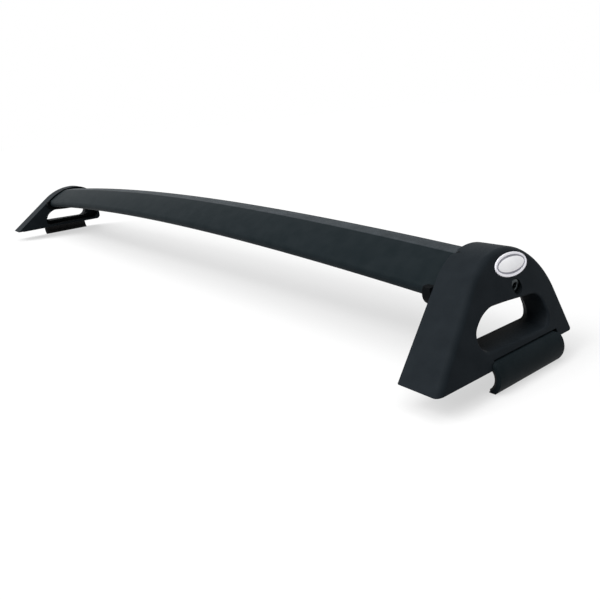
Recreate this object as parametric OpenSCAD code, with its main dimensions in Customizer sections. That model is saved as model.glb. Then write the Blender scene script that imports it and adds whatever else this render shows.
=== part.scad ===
// Roof rack crossbar: an arched wing bar that slides into two leaning cast feet.
// X runs along the bar, -Y is the front, Z is up and the jaws stand on Z = 0.

/* [Rack] */
// distance over the outboard bottom edges of the two feet
rack_span = 1000; // [900:1:1300]
// height of the feet's soles above the jaws' lowest edges
jaw_drop = 17; // [12:0.5:25]

/* [Crossbar] */
// how far the bar's middle stands above the line at the ends of the span
arch_rise = 17.8; // [0:0.1:40]
// height of the bar's middle line above the soles, at the middle of the rack
bar_height = 66; // [55:0.5:90]
// place of the bar's middle line from the middle of the foot, towards the rear
bar_y = 21.5; // [10:0.5:30]
// half of the distance between the centres of the round nose and the round tail
nose_half = 33.5; // [25:0.5:45]
// how far the nose's centre lies below the bar's middle line
nose_down = 8.5; // [5:0.5:12]
// radius of the nose and of the tail
nose_r = 5.5; // [3:0.5:8]
// half width of the flat land along the top
land_half = 8.5; // [6:0.5:12]
// height of the land's edges above the bar's middle line
land_up = 12.2; // [9:0.1:15]
// how far the land is crowned
land_crown = 0.6; // [0.1:0.1:1.5]
// radius of the long faces that climb from nose and tail to the land
flank_r = 110; // [60:5:300]
// depth of the belly below the bar's middle line
belly_down = 15.5; // [14.5:0.1:18]
// wall thickness of the extrusion
bar_wall = 2.2; // [1.5:0.1:4]
// distance of the end of the bar from the outboard bottom edge of the foot, along the rack
bar_end_in = 38; // [34:0.5:45]

/* [Slot] */
// width of the slot's mouth
mouth_w = 10; // [8:0.5:12]
// width of the slot's channel
channel_w = 18; // [14:0.5:22]
// height of the slot's channel
channel_h = 5; // [3:0.5:8]
// thickness of the lips over the channel
lip_t = 2; // [1:0.1:4]
// thickness of the strip's cap at its edges
strip_cap = 0.9; // [0.5:0.1:2]
// how far the strip's barbs reach under the lips on each side
barb_w = 1.5; // [0.5:0.1:3]
// thickness of the barbs
barb_t = 1; // [0.5:0.1:2]

/* [Foot] */
// length of the foot from front to rear
foot_l = 153; // [120:1:180]
// thickness of the foot at its sole
foot_t = 34.3; // [25:0.1:50]
// height of the foot above its sole
foot_h = 68; // [55:0.5:90]
// place of the crown's top from the middle of the foot, towards the rear
crown_y = 30.5; // [10:0.5:50]
// radius of the crown's front part
crown_front_r = 70; // [50:1:100]
// radius of the crown's rear part
crown_rear_r = 42.5; // [30:0.5:60]
// lean of the outboard face towards the middle of the rack, in degrees
lean_out = 22.8; // [0:0.1:35]
// lean of the inboard face towards the middle of the rack, in degrees
lean_in = 19.8; // [0:0.1:35]
// rounding of the edges round the outboard face
edge_r = 6.5; // [2:0.5:10]
// rounding of the edges round the inboard face
edge_in_r = 2; // [1:0.5:5]

/* [Window] */
// how deep the narrowest part of the window lies behind the outboard face
throat_depth = 17; // [8:0.5:25]
// height of the window's floor above the sole, at its narrowest part
floor_h = 10.5; // [9:0.5:15]
// height of the window's ceiling above the sole, at its narrowest part
ceiling_h = 30.5; // [26:0.5:34]
// place of the window's front end from the middle of the foot
window_front = -22.5; // [-40:0.5:0]
// place of the window's rear end from the middle of the foot
window_rear = 53.5; // [40:0.5:60]
// radius of the window's rear upper corner
rear_high_r = 10; // [8:0.5:10]
// radius of the window's rear lower corner
rear_low_r = 9; // [8:0.5:10]

/* [Sleeve] */
// thickness of the sleeve round the bar inside the foot
sleeve_t = 1.5; // [1:0.1:3]
// clearance between the bar and the sleeve
bar_gap = 0.3; // [0.1:0.05:0.6]
// thickness of the sleeve's lip outside the foot
lip_grow = 5.5; // [3:0.5:8]
// length of the lip outside the foot
lip_l = 9; // [4:0.5:15]
// length of the sleeve inside the foot
sleeve_l = 11; // [6:0.5:14]
// clearance between the sleeve and the foot
sleeve_gap = 0.05; // [0.05:0.05:0.3]
// how far below the bar's middle line the lip begins
lip_down = 4; // [3:0.5:7]
// size of the step round the lip's inboard end
lip_step = 1.2; // [0.5:0.1:2]

/* [Tension bolt] */
// place of the bolt behind the bar's middle line
bolt_y = 9; // [0:0.5:15]
// place of the bolt below the bar's middle line
bolt_down = 8; // [6:0.5:8.5]
// diameter of the bolt's shank
bolt_d = 6; // [5:1:8]
// diameter of the bolt's head
bolt_head_d = 10; // [8.5:0.5:13]
// height of the bolt's head
bolt_head_h = 6; // [5:0.5:8]
// length of the bolt under its head
bolt_l = 50; // [40:1:60]
// width across the flats of the bolt's hex socket
bolt_hex = 5; // [4:1:6]
// depth of the bolt's hex socket
bolt_hex_deep = 3; // [2:0.5:4]
// chamfer round the top of the bolt's head
bolt_chamfer = 0.6; // [0.2:0.1:1]
// outer diameter of the washer
washer_d = 10.4; // [10.2:0.1:11]
// thickness of the washer
washer_t = 1.2; // [0.8:0.1:2]
// clearance round the washer, and between the washer and the shank
washer_gap = 0.2; // [0.1:0.05:0.3]
// clearance round the shank where it passes through the foot
shank_gap = 0.4; // [0.2:0.1:0.6]
// thickness of the foot's wall that the washer bears on
seat_wall = 4.2; // [3:0.1:6]
// how far the bolt's head lies behind the outboard face, along the rack at the bolt's axis
head_sunk = 2; // [1.5:0.1:4]
// running clearance of the shank's radius in the plug's thread
thread_gap = 0.05; // [0.01:0.01:0.1]
// length of the threaded plug in the bar's end
plug_l = 30; // [20:1:40]
// how far the plug lies behind the bar's end
plug_in = 1; // [0:0.5:5]
// clearance between the plug and the bar's wall
plug_gap = 0.05; // [0.05:0.05:0.2]

/* [Clamp jaw] */
// length of the jaw
jaw_l = 77; // [50:1:100]
// place of the jaw's front end from the middle of the foot
jaw_front = -20.5; // [-40:0.5:0]
// outer radius of the jaw's curved wall
jaw_r = 14.5; // [10:0.5:25]
// how far the jaw's curved wall bulges past the outboard bottom edge
jaw_bulge = 5.1; // [2:0.1:10]
// height of the widest part of the jaw below the sole
jaw_mid_down = 6.8; // [4:0.1:10]
// thickness of the jaw's plate
jaw_t = 3.5; // [2:0.1:6]
// thickness of the jaw's rubber liner
liner_t = 1.5; // [1:0.1:3]
// thickness of the jaw's flange
flange_t = 4.4; // [3:0.1:6]
// length of the flange, from the outboard bottom edge inwards
flange_l = 25; // [20:0.5:28]
// distance of the jaw's lower tip from the outboard bottom edge, inwards
jaw_tip_in = 4; // [2:0.5:8]
// distance of the liner from the jaw's ends and tip
liner_in = 0.5; // [0.3:0.1:2]
// height of the ceiling of the foot's base cavity above the sole
cavity_h = 4.6; // [4:0.1:6]
// gap between the jaw and the foot at the ends of the jaw and of its flange
notch_gap = 1; // [0.5:0.1:2]
// how far the notch over the jaw's curve rises above the cavity's ceiling
notch_relief = 1.2; // [0.5:0.1:2]
// how far the notch reaches in from the outboard bottom edge
notch_in = 7; // [5:0.5:10]
// radius of the jaw's upper corners and of the notch's front corner
jaw_corner_r = 4; // [2:0.5:6]
// diameter of the jaw screws
jaw_screw_d = 5; // [4:1:6]
// diameter of their countersunk heads
jaw_screw_head_d = 10; // [8:0.5:12]
// distance of the jaw screws from the ends of the jaw
jaw_screw_in = 16; // [10:1:25]
// distance of the jaw screws from the outboard bottom edge
jaw_screw_x = 17; // [12:0.5:20]
// height of their countersunk heads
jaw_screw_head_h = 2.6; // [2:0.1:3]
// width across the flats of their hex sockets
jaw_screw_hex = 3; // [2:0.5:4]
// clearance round the jaw screws in the jaw
jaw_screw_gap = 0.2; // [0.1:0.05:0.4]
// outer diameter of the thread inserts
insert_d = 8; // [7:0.5:10]
// length of the thread inserts
insert_h = 4.6; // [3:0.1:5.5]
// how far the screws stop short of the far end of the inserts
jaw_screw_short = 0.4; // [0:0.1:1]

/* [Sole] */
// how far the rubber sole stands proud of the foot
pad_proud = 1; // [0.5:0.5:3]
// depth of the recess that holds the sole
pad_recess = 2; // [1:0.5:4]
// width of the rim round the sole's recess
pad_rim = 3; // [2:0.5:6]
// width of the rim along the outboard edge
pad_rim_out = 6; // [4:0.5:8]
// width of the rim at the front end of the foot
pad_rim_front = 9; // [6:0.5:15]
// clearance round the sole in its recess
pad_gap = 0.2; // [0.1:0.1:0.5]

/* [Badge] */
// length of the bare oval plate
badge_l = 36.5; // [20:0.5:45]
// height of the bare oval plate
badge_w = 17; // [12:0.5:18]
// thickness of the plate at its rim
badge_t = 1.4; // [1:0.1:3]
// depth of the pocket that the plate sits in
badge_pocket = 0.8; // [0.4:0.1:2]
// clearance round the plate in its pocket
pocket_gap = 0.1; // [0.05:0.05:0.3]
// rise of the plate's domed face
badge_dome = 0.8; // [0.2:0.1:2]
// place of the plate's middle from the middle of the foot
badge_y = 32; // [20:0.5:40]
// height of the plate's middle above the sole
badge_z = 56.5; // [45:0.5:60]

/* [Hidden] */
$fn = 48;
fine_fn = 180;
long_arc_fn = 1440;
// thickness of the slices that the foot's hull joins, which reach into its middle
level_t = 12;
// how far cutting shapes reach past what they cut
far = 200;
powder_black = [0.13, 0.15, 0.17];
strip_grey = [0.33, 0.33, 0.33];
rubber_black = [0.07, 0.07, 0.08];
sleeve_black = [0.09, 0.10, 0.10];
steel_black = [0.20, 0.20, 0.21];
zinc_grey = [0.60, 0.61, 0.62];
badge_white = [0.93, 0.94, 0.95];

half_span = rack_span / 2;
inboard_x = half_span - foot_t;
sole_z = jaw_drop;
bend_r = (half_span * half_span + arch_rise * arch_rise) / (2 * arch_rise);
bend_z = sole_z + bar_height - bend_r;
bar_end_angle = asin((half_span - bar_end_in) / bend_r);
// the foot's socket is straight and lies along the bar's direction here
socket_x = half_span - 45;
socket_angle = asin(socket_x / bend_r);
// height of the bar's middle line above the sole there
socket_up = bar_height - bend_r * (1 - cos(socket_angle));
// the end of the bar, measured along the socket's axis
bar_end_s = bend_r * sin(bar_end_angle - socket_angle);

nose = [-nose_half, -nose_down];
crease = [-land_half, land_up];
// the long front face touches the nose's circle from outside and ends on the crease
flank = meet(nose, flank_r - nose_r, crease, flank_r);
crown_r = (land_half * land_half + land_crown * land_crown) / (2 * land_crown);
crown_up = land_up + land_crown - crown_r;
belly_gap = belly_down - nose_down;
belly_r = (nose_half * nose_half + belly_gap * belly_gap - nose_r * nose_r) / (2 * (belly_gap - nose_r));
belly_up = belly_r - belly_down;
web_half = 17;
web_t = 2;
slot_floor = land_up - strip_cap - lip_t - channel_h;
slot_box_half = channel_w / 2 + web_t;
slot_box_down = slot_floor - web_t;
// the plug fills the space between the webs and under the slot's box
plug_half = web_half - web_t / 2 - 2 * plug_gap;
plug_top = slot_box_down - 2 * plug_gap;

crown_front = [crown_y, foot_h - crown_front_r];
crown_rear = [crown_y, foot_h - crown_rear_r];
// the discs that end the foot's front and rear lines lie below the sole
toe_r = 10;
toe_down = 15;
toe_front = under_line([-foot_l / 2, 0], crown_front, crown_front_r, 1);
toe_rear = under_line([foot_l / 2, 0], crown_rear, crown_rear_r, -1);

// the window's corners are [along the foot, up from the sole, radius]: front low, front high,
// rear high, rear low; at the throat the front is a big arc over a small one, cut by a line a
// little above the place where they all but touch
throat_big_r = ceiling_h - floor_h;
throat_low = 0.4;
throat_low_r = throat_low * throat_big_r;
throat_low_y = window_front + throat_low_r;
throat_apart = 0.1;
throat_shift = throat_big_r * (1 - sqrt(pow(1 - throat_low, 2) - pow(throat_low, 2))) + throat_apart;
throat = [
    [throat_low_y, floor_h + throat_low_r, throat_low_r],
    [throat_low_y - throat_shift + throat_big_r, floor_h, throat_big_r],
    [window_rear - rear_high_r, ceiling_h - rear_high_r, rear_high_r],
    [window_rear - rear_low_r, floor_h + rear_low_r, rear_low_r],
];
throat_line = floor_h + throat_low_r / (1 - throat_low) - 1;
// at the outboard face the window is wider all round, and its front leans back
rim_low_r = 9.5;
rim_big_r = 24.5;
rim_rear_r = 11;
rim = [
    [window_front + 4.5, floor_h + 8, rim_low_r],
    [window_front + 19.5, floor_h + 3, rim_big_r],
    [window_rear - 7, floor_h + 12, rim_rear_r],
    [window_rear - 7, floor_h + 9.5, rim_rear_r],
];

jaw_mid_x = half_span + jaw_bulge - jaw_r;
jaw_tip_x = half_span - jaw_tip_in;
jaw_screws_y = [jaw_front + jaw_screw_in, jaw_front + jaw_l - jaw_screw_in];

// places of the bolt's head, its seat and the socket's end, measured along the socket's axis
head_s = on_socket(half_span - head_sunk, lean_out, -bolt_down);
seat_s = head_s - bolt_head_h;
socket_end_s = seat_s - washer_t - seat_wall;

// where a leaning face, at x on the sole, crosses the line at height up across the bar
function on_socket(x, lean, up) =
    (x - socket_x - up * sin(socket_angle) - tan(lean) * (socket_up + up * cos(socket_angle)))
        / (cos(socket_angle) - tan(lean) * sin(socket_angle));

// the point at distance ra from a and rb from b, on the right of the way from a to b
function meet(a, ra, b, rb) =
    let (d = norm(b - a), x = (ra * ra - rb * rb + d * d) / (2 * d), y = sqrt(ra * ra - x * x))
    a + x * (b - a) / d + y * [b.y - a.y, a.x - b.x] / d;

// centre of a toe disc that touches, from below, the line from point p to the circle c, r
function under_line(p, c, r, side) =
    let (
        to_c = atan2(c.y - p.y, side * (c.x - p.x)),
        a = to_c + asin(r / norm(c - p)),
        s = (toe_down - toe_r * cos(a)) / sin(a)
    )
    [p.x + side * (toe_r * sin(a) - s * cos(a)), -toe_down];

// places what follows on the foot with the Y and Z of the drawing, along X
module along_x() {
    rotate([90, 0, 90]) children();
}

// a slice of a drawing from x to x + thick, leaning inboard like the foot's faces
module leaning(x, lean, thick) {
    multmatrix([[1, 0, -tan(lean), x], [0, 1, 0, 0], [0, 0, 1, sole_z], [0, 0, 0, 1]])
        along_x() linear_extrude(thick) children();
}

// the frame at the bar's end: X outboard along the bar, Z across it, origin on its middle line
module at_bar_end() {
    translate([0, bar_y, bend_z])
        rotate([0, socket_angle, 0])
            translate([0, 0, bend_r]) children();
}

// the bar's outline, Y forward to rear and Z up, grown all round by g
module bar_outline(g = 0) {
    toward = (nose - flank) / norm(nose - flank);
    below = (nose - [0, belly_up]) / norm(nose - [0, belly_up]);
    for (side = [-1, 1]) translate([side * nose.x, nose.y]) circle(nose_r + g, $fn = fine_fn);
    intersection() {
        translate(flank) circle(flank_r + g, $fn = long_arc_fn);
        translate([-flank.x, flank.y]) circle(flank_r + g, $fn = long_arc_fn);
        translate([0, belly_up]) circle(belly_r + g, $fn = long_arc_fn);
        translate([0, crown_up]) circle(crown_r + g, $fn = long_arc_fn);
        polygon([
            nose, nose + far * toward,
            [-nose.x - far * toward.x, nose.y + far * toward.y], [-nose.x, nose.y],
            [-nose.x - far * below.x, nose.y + far * below.y], nose + far * below,
        ]);
    }
}

// the bar's cross-section with its chambers, its webs and the slot
module bar_section() {
    difference() {
        bar_outline();
        difference() {
            bar_outline(-bar_wall);
            translate([-slot_box_half, slot_box_down]) square([2 * slot_box_half, far]);
            for (side = [-1, 1]) translate([side * web_half - web_t / 2, -far / 2]) square([web_t, far]);
        }
        translate([-channel_w / 2, slot_floor]) square([channel_w, channel_h]);
        translate([-mouth_w / 2, slot_floor]) square([mouth_w, far]);
        translate([-land_half, land_up - strip_cap]) square([2 * land_half, far]);
    }
}

// sweeps a section along the arch, from the left end to the right end
module along_arch(half_angle) {
    translate([0, bar_y, bend_z])
        rotate(a = -120, v = [1, 1, 1])
            rotate([0, 0, -half_angle])
                rotate_extrude(angle = 2 * half_angle, $fn = long_arc_fn)
                    rotate(-90) translate([0, bend_r]) children();
}

module crossbar() {
    color(powder_black) along_arch(bar_end_angle) bar_section();
}

// the strip: a crowned cap over the lips and a stem that fills the mouth
module strip_section() {
    intersection() {
        bar_outline();
        translate([-land_half, land_up - strip_cap]) square([2 * land_half, far]);
    }
    translate([-mouth_w / 2, land_up - strip_cap - lip_t]) square([mouth_w, lip_t]);
    translate([-mouth_w / 2 - barb_w, land_up - strip_cap - lip_t - barb_t])
        square([mouth_w + 2 * barb_w, barb_t]);
}

module slot_strip() {
    color(strip_grey) along_arch(bar_end_angle) strip_section();
}

// one level of the foot's outline, moved in by inset
module foot_level(x, lean, inset) {
    leaning(x, lean, level_t) {
        intersection() {
            translate(crown_front) circle(crown_front_r - inset, $fn = 120);
            translate([crown_y - far, 0]) square([far, far]);
        }
        translate(crown_rear) circle(crown_rear_r - inset, $fn = 72);
        translate(toe_front) circle(toe_r - inset, $fn = 24);
        translate(toe_rear) circle(toe_r - inset, $fn = 24);
    }
}

// the foot's leaning body with its rounded edges
module foot_body() {
    hull() {
        for (a = [0:15:90])
            foot_level(half_span - edge_r * (1 - cos(a)) - level_t, lean_out, edge_r * (1 - sin(a)));
        for (a = [0:30:90])
            foot_level(inboard_x + edge_in_r * (1 - cos(a)), lean_in, edge_in_r * (1 - sin(a)));
    }
}

// the outline of a belt round discs, which are listed going round
module belt(discs) {
    if (len(discs) > 2) polygon([for (d = discs) [d.x, d.y]]);
    for (i = [0:len(discs) - 1]) {
        a = discs[i];
        b = discs[(i + 1) % len(discs)];
        way = [b.x - a.x, b.y - a.y];
        turn = acos((a.z - b.z) / norm(way));
        out = [
            way.x * cos(turn) + way.y * sin(turn),
            way.y * cos(turn) - way.x * sin(turn),
        ] / norm(way);
        translate([a.x, a.y]) circle(a.z, $fn = fine_fn);
        polygon([[a.x, a.y], [a.x, a.y] + a.z * out, [b.x, b.y] + b.z * out, [b.x, b.y]]);
    }
}

// one level of the window's flare, grown all round
module flare_level(depth, corners, grow) {
    leaning(half_span - depth, lean_out, 1) {
        for (i = [0, 2, 3]) translate([corners[i].x, corners[i].y]) circle(corners[i].z + grow);
        intersection() {
            translate([corners[1].x, corners[1].y]) circle(corners[1].z + grow, $fn = 120);
            translate([corners[1].x - far, corners[1].y]) square([far, far]);
        }
    }
}

// the window: it narrows from the outboard face and then runs straight through
module window_cut() {
    translate([half_span - far, 0, sole_z]) along_x() linear_extrude(2 * far) {
        belt([throat[0], throat[3]]);
        intersection() {
            belt([throat[1], throat[3], throat[2]]);
            translate([-far, throat_line]) square([2 * far, far]);
        }
    }
    hull() {
        flare_level(throat_depth + 4, throat, -2);
        flare_level(3, rim, -1);
        flare_level(0, rim, 0.8);
    }
}

// the recess under the foot that takes the jaw's flange, open to the notch outboard
module jaw_cavity() {
    translate([half_span - flange_l - notch_gap, 0, sole_z]) along_x() linear_extrude(far)
        difference() {
            translate([jaw_front - notch_gap, -jaw_drop])
                square([jaw_l + 2 * notch_gap, jaw_drop + cavity_h]);
            translate([jaw_front - notch_gap, cavity_h - jaw_corner_r]) difference() {
                square(jaw_corner_r);
                translate([jaw_corner_r, 0]) circle(jaw_corner_r);
            }
        }
    translate([half_span - notch_in, jaw_front - notch_gap + jaw_corner_r, sole_z])
        cube([far, jaw_l + 2 * notch_gap - jaw_corner_r, cavity_h + notch_relief]);
}

// the sole's outline on the foot's underside: toe, heel and the strip that joins them
module sole_outline(gap = 0) {
    front = -foot_l / 2 + pad_rim_front + gap;
    inner = inboard_x + pad_rim + gap;
    outer = half_span - pad_rim_out - gap;
    strip = half_span - flange_l - notch_gap - pad_rim / 2 - gap;
    toe_end = jaw_front - notch_gap - pad_rim - gap;
    heel_start = jaw_front + jaw_l + notch_gap + pad_rim + gap;
    rear = foot_l / 2 - pad_rim - gap;
    translate([inner, front]) square([outer - inner, toe_end - front]);
    translate([inner, heel_start]) square([outer - inner, rear - heel_start]);
    translate([inner, front]) square([strip - inner, rear - front]);
}

// the badge's outline, grown all round
module oval(grow, fn) {
    scale([badge_l / 2 + grow, badge_w / 2 + grow]) circle(1, $fn = fn);
}

// the frame on the outboard face at the badge: X along the foot, Y up the face, Z out of it
module at_badge() {
    translate([half_span - tan(lean_out) * badge_z, badge_y, sole_z + badge_z])
        rotate([0, -lean_out, 0]) along_x() children();
}

module foot_casting() {
    difference() {
        foot_body();
        translate([0, -far, sole_z - far]) cube([rack_span, 2 * far, far]);
        window_cut();
        jaw_cavity();
        translate([0, 0, sole_z - 1]) linear_extrude(pad_recess + 1) sole_outline();
        at_bar_end() {
            translate([-far, 0, 0]) along_x() linear_extrude(far + socket_end_s)
                bar_outline(bar_gap + sleeve_t);
            translate([0, bolt_y, -bolt_down]) along_x() {
                cylinder(h = far, d = bolt_d + 2 * shank_gap);
                translate([0, 0, seat_s - washer_t]) cylinder(h = far, d = washer_d + 2 * washer_gap);
            }
        }
        for (y = jaw_screws_y) translate([half_span - jaw_screw_x, y, sole_z])
            cylinder(h = cavity_h + insert_h, d = insert_d);
    }
}

module foot_casting_right() {
    color(powder_black) difference() {
        foot_casting();
        at_badge() translate([0, 0, -badge_pocket]) linear_extrude(far) oval(pocket_gap, fine_fn);
    }
}

module foot_casting_left() {
    color(powder_black) left() foot_casting();
}

module foot_pad() {
    color(rubber_black) translate([0, 0, sole_z - pad_proud])
        linear_extrude(pad_recess + pad_proud) sole_outline(pad_gap);
}

// where the foot's inboard face crosses the line at height up across the bar
function face_s(up) = on_socket(inboard_x, lean_in, up);

// everything inboard of the foot's inboard face, in the socket's frame
module inboard_of_foot() {
    translate([face_s(0) - sleeve_gap, 0, 0]) rotate([0, -(lean_in + socket_angle), 0])
        translate([-far, -far, -far]) cube([far, 2 * far, 2 * far]);
}

// the sleeve: a ring inside the foot's socket, and a lip under the bar outside it
module bar_sleeve() {
    lip_s = face_s(-lip_down) - lip_l;
    color(sleeve_black) at_bar_end() difference() {
        union() {
            translate([lip_s, 0, 0]) along_x() linear_extrude(lip_l + edge_in_r + sleeve_l)
                bar_outline(bar_gap + sleeve_t - sleeve_gap);
            intersection() {
                translate([lip_s, 0, 0]) along_x() {
                    linear_extrude(lip_step) bar_outline(lip_grow - lip_step);
                    translate([0, 0, lip_step]) linear_extrude(far) bar_outline(lip_grow);
                }
                translate([-far, -far, -far - lip_down]) cube([2 * far, 2 * far, far]);
                inboard_of_foot();
            }
        }
        translate([-far, 0, 0]) along_x() linear_extrude(2 * far) bar_outline(bar_gap);
        // above the lip the sleeve is flush with the foot's face
        intersection() {
            translate([-far, -far, -lip_down]) cube([2 * far, 2 * far, far]);
            inboard_of_foot();
        }
    }
}

module bar_plug() {
    color(zinc_grey) at_bar_end() difference() {
        translate([bar_end_s - plug_in - plug_l, 0, 0]) along_x() linear_extrude(plug_l) intersection() {
            bar_outline(-bar_wall - plug_gap);
            translate([-plug_half, -far]) square([2 * plug_half, far + plug_top]);
        }
        translate([-far, bolt_y, -bolt_down]) along_x() cylinder(h = 2 * far, d = bolt_d + 2 * thread_gap);
    }
}

// a hex socket's hole, by its width across the flats
module hex_hole(flats) {
    cylinder(h = far, d = flats / cos(30), $fn = 6);
}

module tension_bolt() {
    color(steel_black) at_bar_end() translate([seat_s, bolt_y, -bolt_down]) along_x() {
        difference() {
            union() {
                cylinder(h = bolt_head_h - bolt_chamfer, d = bolt_head_d);
                translate([0, 0, bolt_head_h - bolt_chamfer])
                    cylinder(h = bolt_chamfer, d1 = bolt_head_d, d2 = bolt_head_d - 2 * bolt_chamfer);
            }
            translate([0, 0, bolt_head_h - bolt_hex_deep]) hex_hole(bolt_hex);
        }
        translate([0, 0, -bolt_l]) cylinder(h = bolt_l, d = bolt_d);
    }
}

module bolt_washer() {
    color(zinc_grey) at_bar_end() translate([seat_s - washer_t, bolt_y, -bolt_down]) along_x()
        difference() {
            cylinder(h = washer_t, d = washer_d);
            translate([0, 0, -far / 2]) cylinder(h = far, d = bolt_d + 2 * washer_gap);
        }
}

// the jaw's section, X outboard from the middle of its curve and Y up from the sole
module jaw_section() {
    tip = jaw_tip_x - jaw_mid_x;
    intersection() {
        difference() {
            translate([0, -jaw_mid_down]) circle(jaw_r, $fn = fine_fn);
            translate([0, -jaw_mid_down]) circle(jaw_r - jaw_t, $fn = fine_fn);
        }
        translate([0, -jaw_drop]) square([far, jaw_drop + cavity_h]);
        polygon([[tip, -far], [tip, -jaw_mid_down], [-far, 0], [-far, far], [far, far], [far, -far]]);
    }
    // the flange ends inside the curved wall
    translate([half_span - flange_l - jaw_mid_x, cavity_h - flange_t])
        square([flange_l - jaw_t, flange_t]);
}

module clamp_jaw() {
    color(powder_black) difference() {
        intersection() {
            translate([jaw_mid_x, jaw_front + jaw_l, sole_z]) rotate([90, 0, 0])
                linear_extrude(jaw_l) jaw_section();
            translate([half_span - far, 0, sole_z]) along_x() linear_extrude(2 * far) {
                translate([jaw_front, -far]) square([jaw_l, far + cavity_h - jaw_corner_r]);
                translate([jaw_front + jaw_corner_r, -far])
                    square([jaw_l - 2 * jaw_corner_r, far + cavity_h]);
                for (y = [jaw_front + jaw_corner_r, jaw_front + jaw_l - jaw_corner_r])
                    translate([y, cavity_h - jaw_corner_r]) circle(jaw_corner_r);
            }
        }
        for (y = jaw_screws_y) translate([half_span - jaw_screw_x, y, sole_z + cavity_h - flange_t]) {
            cylinder(h = far, d = jaw_screw_d + 2 * jaw_screw_gap);
            translate([0, 0, -far]) cylinder(h = far, d = jaw_screw_head_d + 2 * jaw_screw_gap);
            countersink(2 * jaw_screw_gap);
        }
    }
}

// the jaw screws' head, grown in diameter
module countersink(grow) {
    cylinder(h = jaw_screw_head_h, d1 = jaw_screw_head_d + grow, d2 = jaw_screw_d + grow);
}

module jaw_liner() {
    color(rubber_black) translate([jaw_mid_x, jaw_front + jaw_l - liner_in, sole_z]) rotate([90, 0, 0])
        linear_extrude(jaw_l - 2 * liner_in) intersection() {
            difference() {
                translate([0, -jaw_mid_down]) circle(jaw_r - jaw_t, $fn = fine_fn);
                translate([0, -jaw_mid_down]) circle(jaw_r - jaw_t - liner_t, $fn = fine_fn);
            }
            translate([jaw_tip_x - jaw_mid_x + liner_in, -jaw_drop])
                square([far, jaw_drop + cavity_h - flange_t]);
        }
}

module jaw_screw(y) {
    color(steel_black) translate([half_span - jaw_screw_x, y, sole_z + cavity_h - flange_t])
        difference() {
            union() {
                countersink(0);
                cylinder(h = flange_t + insert_h - jaw_screw_short, d = jaw_screw_d);
            }
            translate([0, 0, jaw_screw_hex / 2 - far]) hex_hole(jaw_screw_hex);
        }
}

module thread_insert(y) {
    color(zinc_grey) translate([half_span - jaw_screw_x, y, sole_z + cavity_h]) difference() {
        cylinder(h = insert_h, d = insert_d);
        translate([0, 0, -far / 2]) cylinder(h = far, d = jaw_screw_d + 2 * thread_gap);
    }
}

// the plate: an oval whose face is crowned, as slices that all stand on its back
module badge() {
    color(badge_white) at_badge() translate([0, 0, -badge_pocket]) hull()
        for (inset = [0, 0.5, 1.5, 3, 4.8])
            linear_extrude(badge_t + badge_dome * (1 - pow(1 - 2 * inset / badge_w, 2)))
                oval(-inset, 96);
}

// the same piece on the left foot
module left() {
    mirror([1, 0, 0]) children();
}

module foot_pad_right() foot_pad();
module bar_sleeve_right() bar_sleeve();
module bar_plug_right() bar_plug();
module tension_bolt_right() tension_bolt();
module bolt_washer_right() bolt_washer();
module clamp_jaw_right() clamp_jaw();
module jaw_liner_right() jaw_liner();
module jaw_screw_front_right() jaw_screw(jaw_screws_y[0]);
module jaw_screw_rear_right() jaw_screw(jaw_screws_y[1]);
module thread_insert_front_right() thread_insert(jaw_screws_y[0]);
module thread_insert_rear_right() thread_insert(jaw_screws_y[1]);

module foot_pad_left() left() foot_pad();
module bar_sleeve_left() left() bar_sleeve();
module bar_plug_left() left() bar_plug();
module tension_bolt_left() left() tension_bolt();
module bolt_washer_left() left() bolt_washer();
module clamp_jaw_left() left() clamp_jaw();
module jaw_liner_left() left() jaw_liner();
module jaw_screw_front_left() left() jaw_screw(jaw_screws_y[0]);
module jaw_screw_rear_left() left() jaw_screw(jaw_screws_y[1]);
module thread_insert_front_left() left() thread_insert(jaw_screws_y[0]);
module thread_insert_rear_left() left() thread_insert(jaw_screws_y[1]);

crossbar();
slot_strip();
badge();
foot_casting_right();
foot_pad_right();
bar_sleeve_right();
bar_plug_right();
tension_bolt_right();
bolt_washer_right();
clamp_jaw_right();
jaw_liner_right();
jaw_screw_front_right();
jaw_screw_rear_right();
thread_insert_front_right();
thread_insert_rear_right();
foot_casting_left();
foot_pad_left();
bar_sleeve_left();
bar_plug_left();
tension_bolt_left();
bolt_washer_left();
clamp_jaw_left();
jaw_liner_left();
jaw_screw_front_left();
jaw_screw_rear_left();
thread_insert_front_left();
thread_insert_rear_left();
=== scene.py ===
import math

import bmesh
import bpy
from bpy.props import FloatProperty, FloatVectorProperty, IntProperty, PointerProperty
from mathutils import Matrix, Vector


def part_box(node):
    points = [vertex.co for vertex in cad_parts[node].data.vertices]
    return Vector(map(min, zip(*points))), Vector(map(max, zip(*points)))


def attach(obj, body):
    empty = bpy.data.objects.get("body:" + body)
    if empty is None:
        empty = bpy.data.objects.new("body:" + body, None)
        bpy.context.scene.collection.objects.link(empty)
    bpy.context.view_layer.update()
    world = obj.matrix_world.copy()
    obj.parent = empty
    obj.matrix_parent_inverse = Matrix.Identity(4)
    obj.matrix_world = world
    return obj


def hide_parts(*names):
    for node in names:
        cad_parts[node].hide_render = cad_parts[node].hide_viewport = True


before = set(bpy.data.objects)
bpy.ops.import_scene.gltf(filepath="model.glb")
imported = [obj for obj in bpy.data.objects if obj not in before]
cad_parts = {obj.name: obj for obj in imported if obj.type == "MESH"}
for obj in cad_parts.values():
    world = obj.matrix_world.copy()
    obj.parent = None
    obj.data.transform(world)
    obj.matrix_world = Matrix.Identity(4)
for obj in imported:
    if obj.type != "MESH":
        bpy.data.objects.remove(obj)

bl_info = {
    "name": "Roof rack crossbar",
    "version": (1, 0, 0),
    "blender": (4, 5, 0),
    "location": "3D View > Sidebar > Roof rack",
    "description": "Dresses the packed roof rack: bar, feet, ribbed strip, jaws, badge and bolts",
    "category": "Object",
}

MM = 0.001
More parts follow.
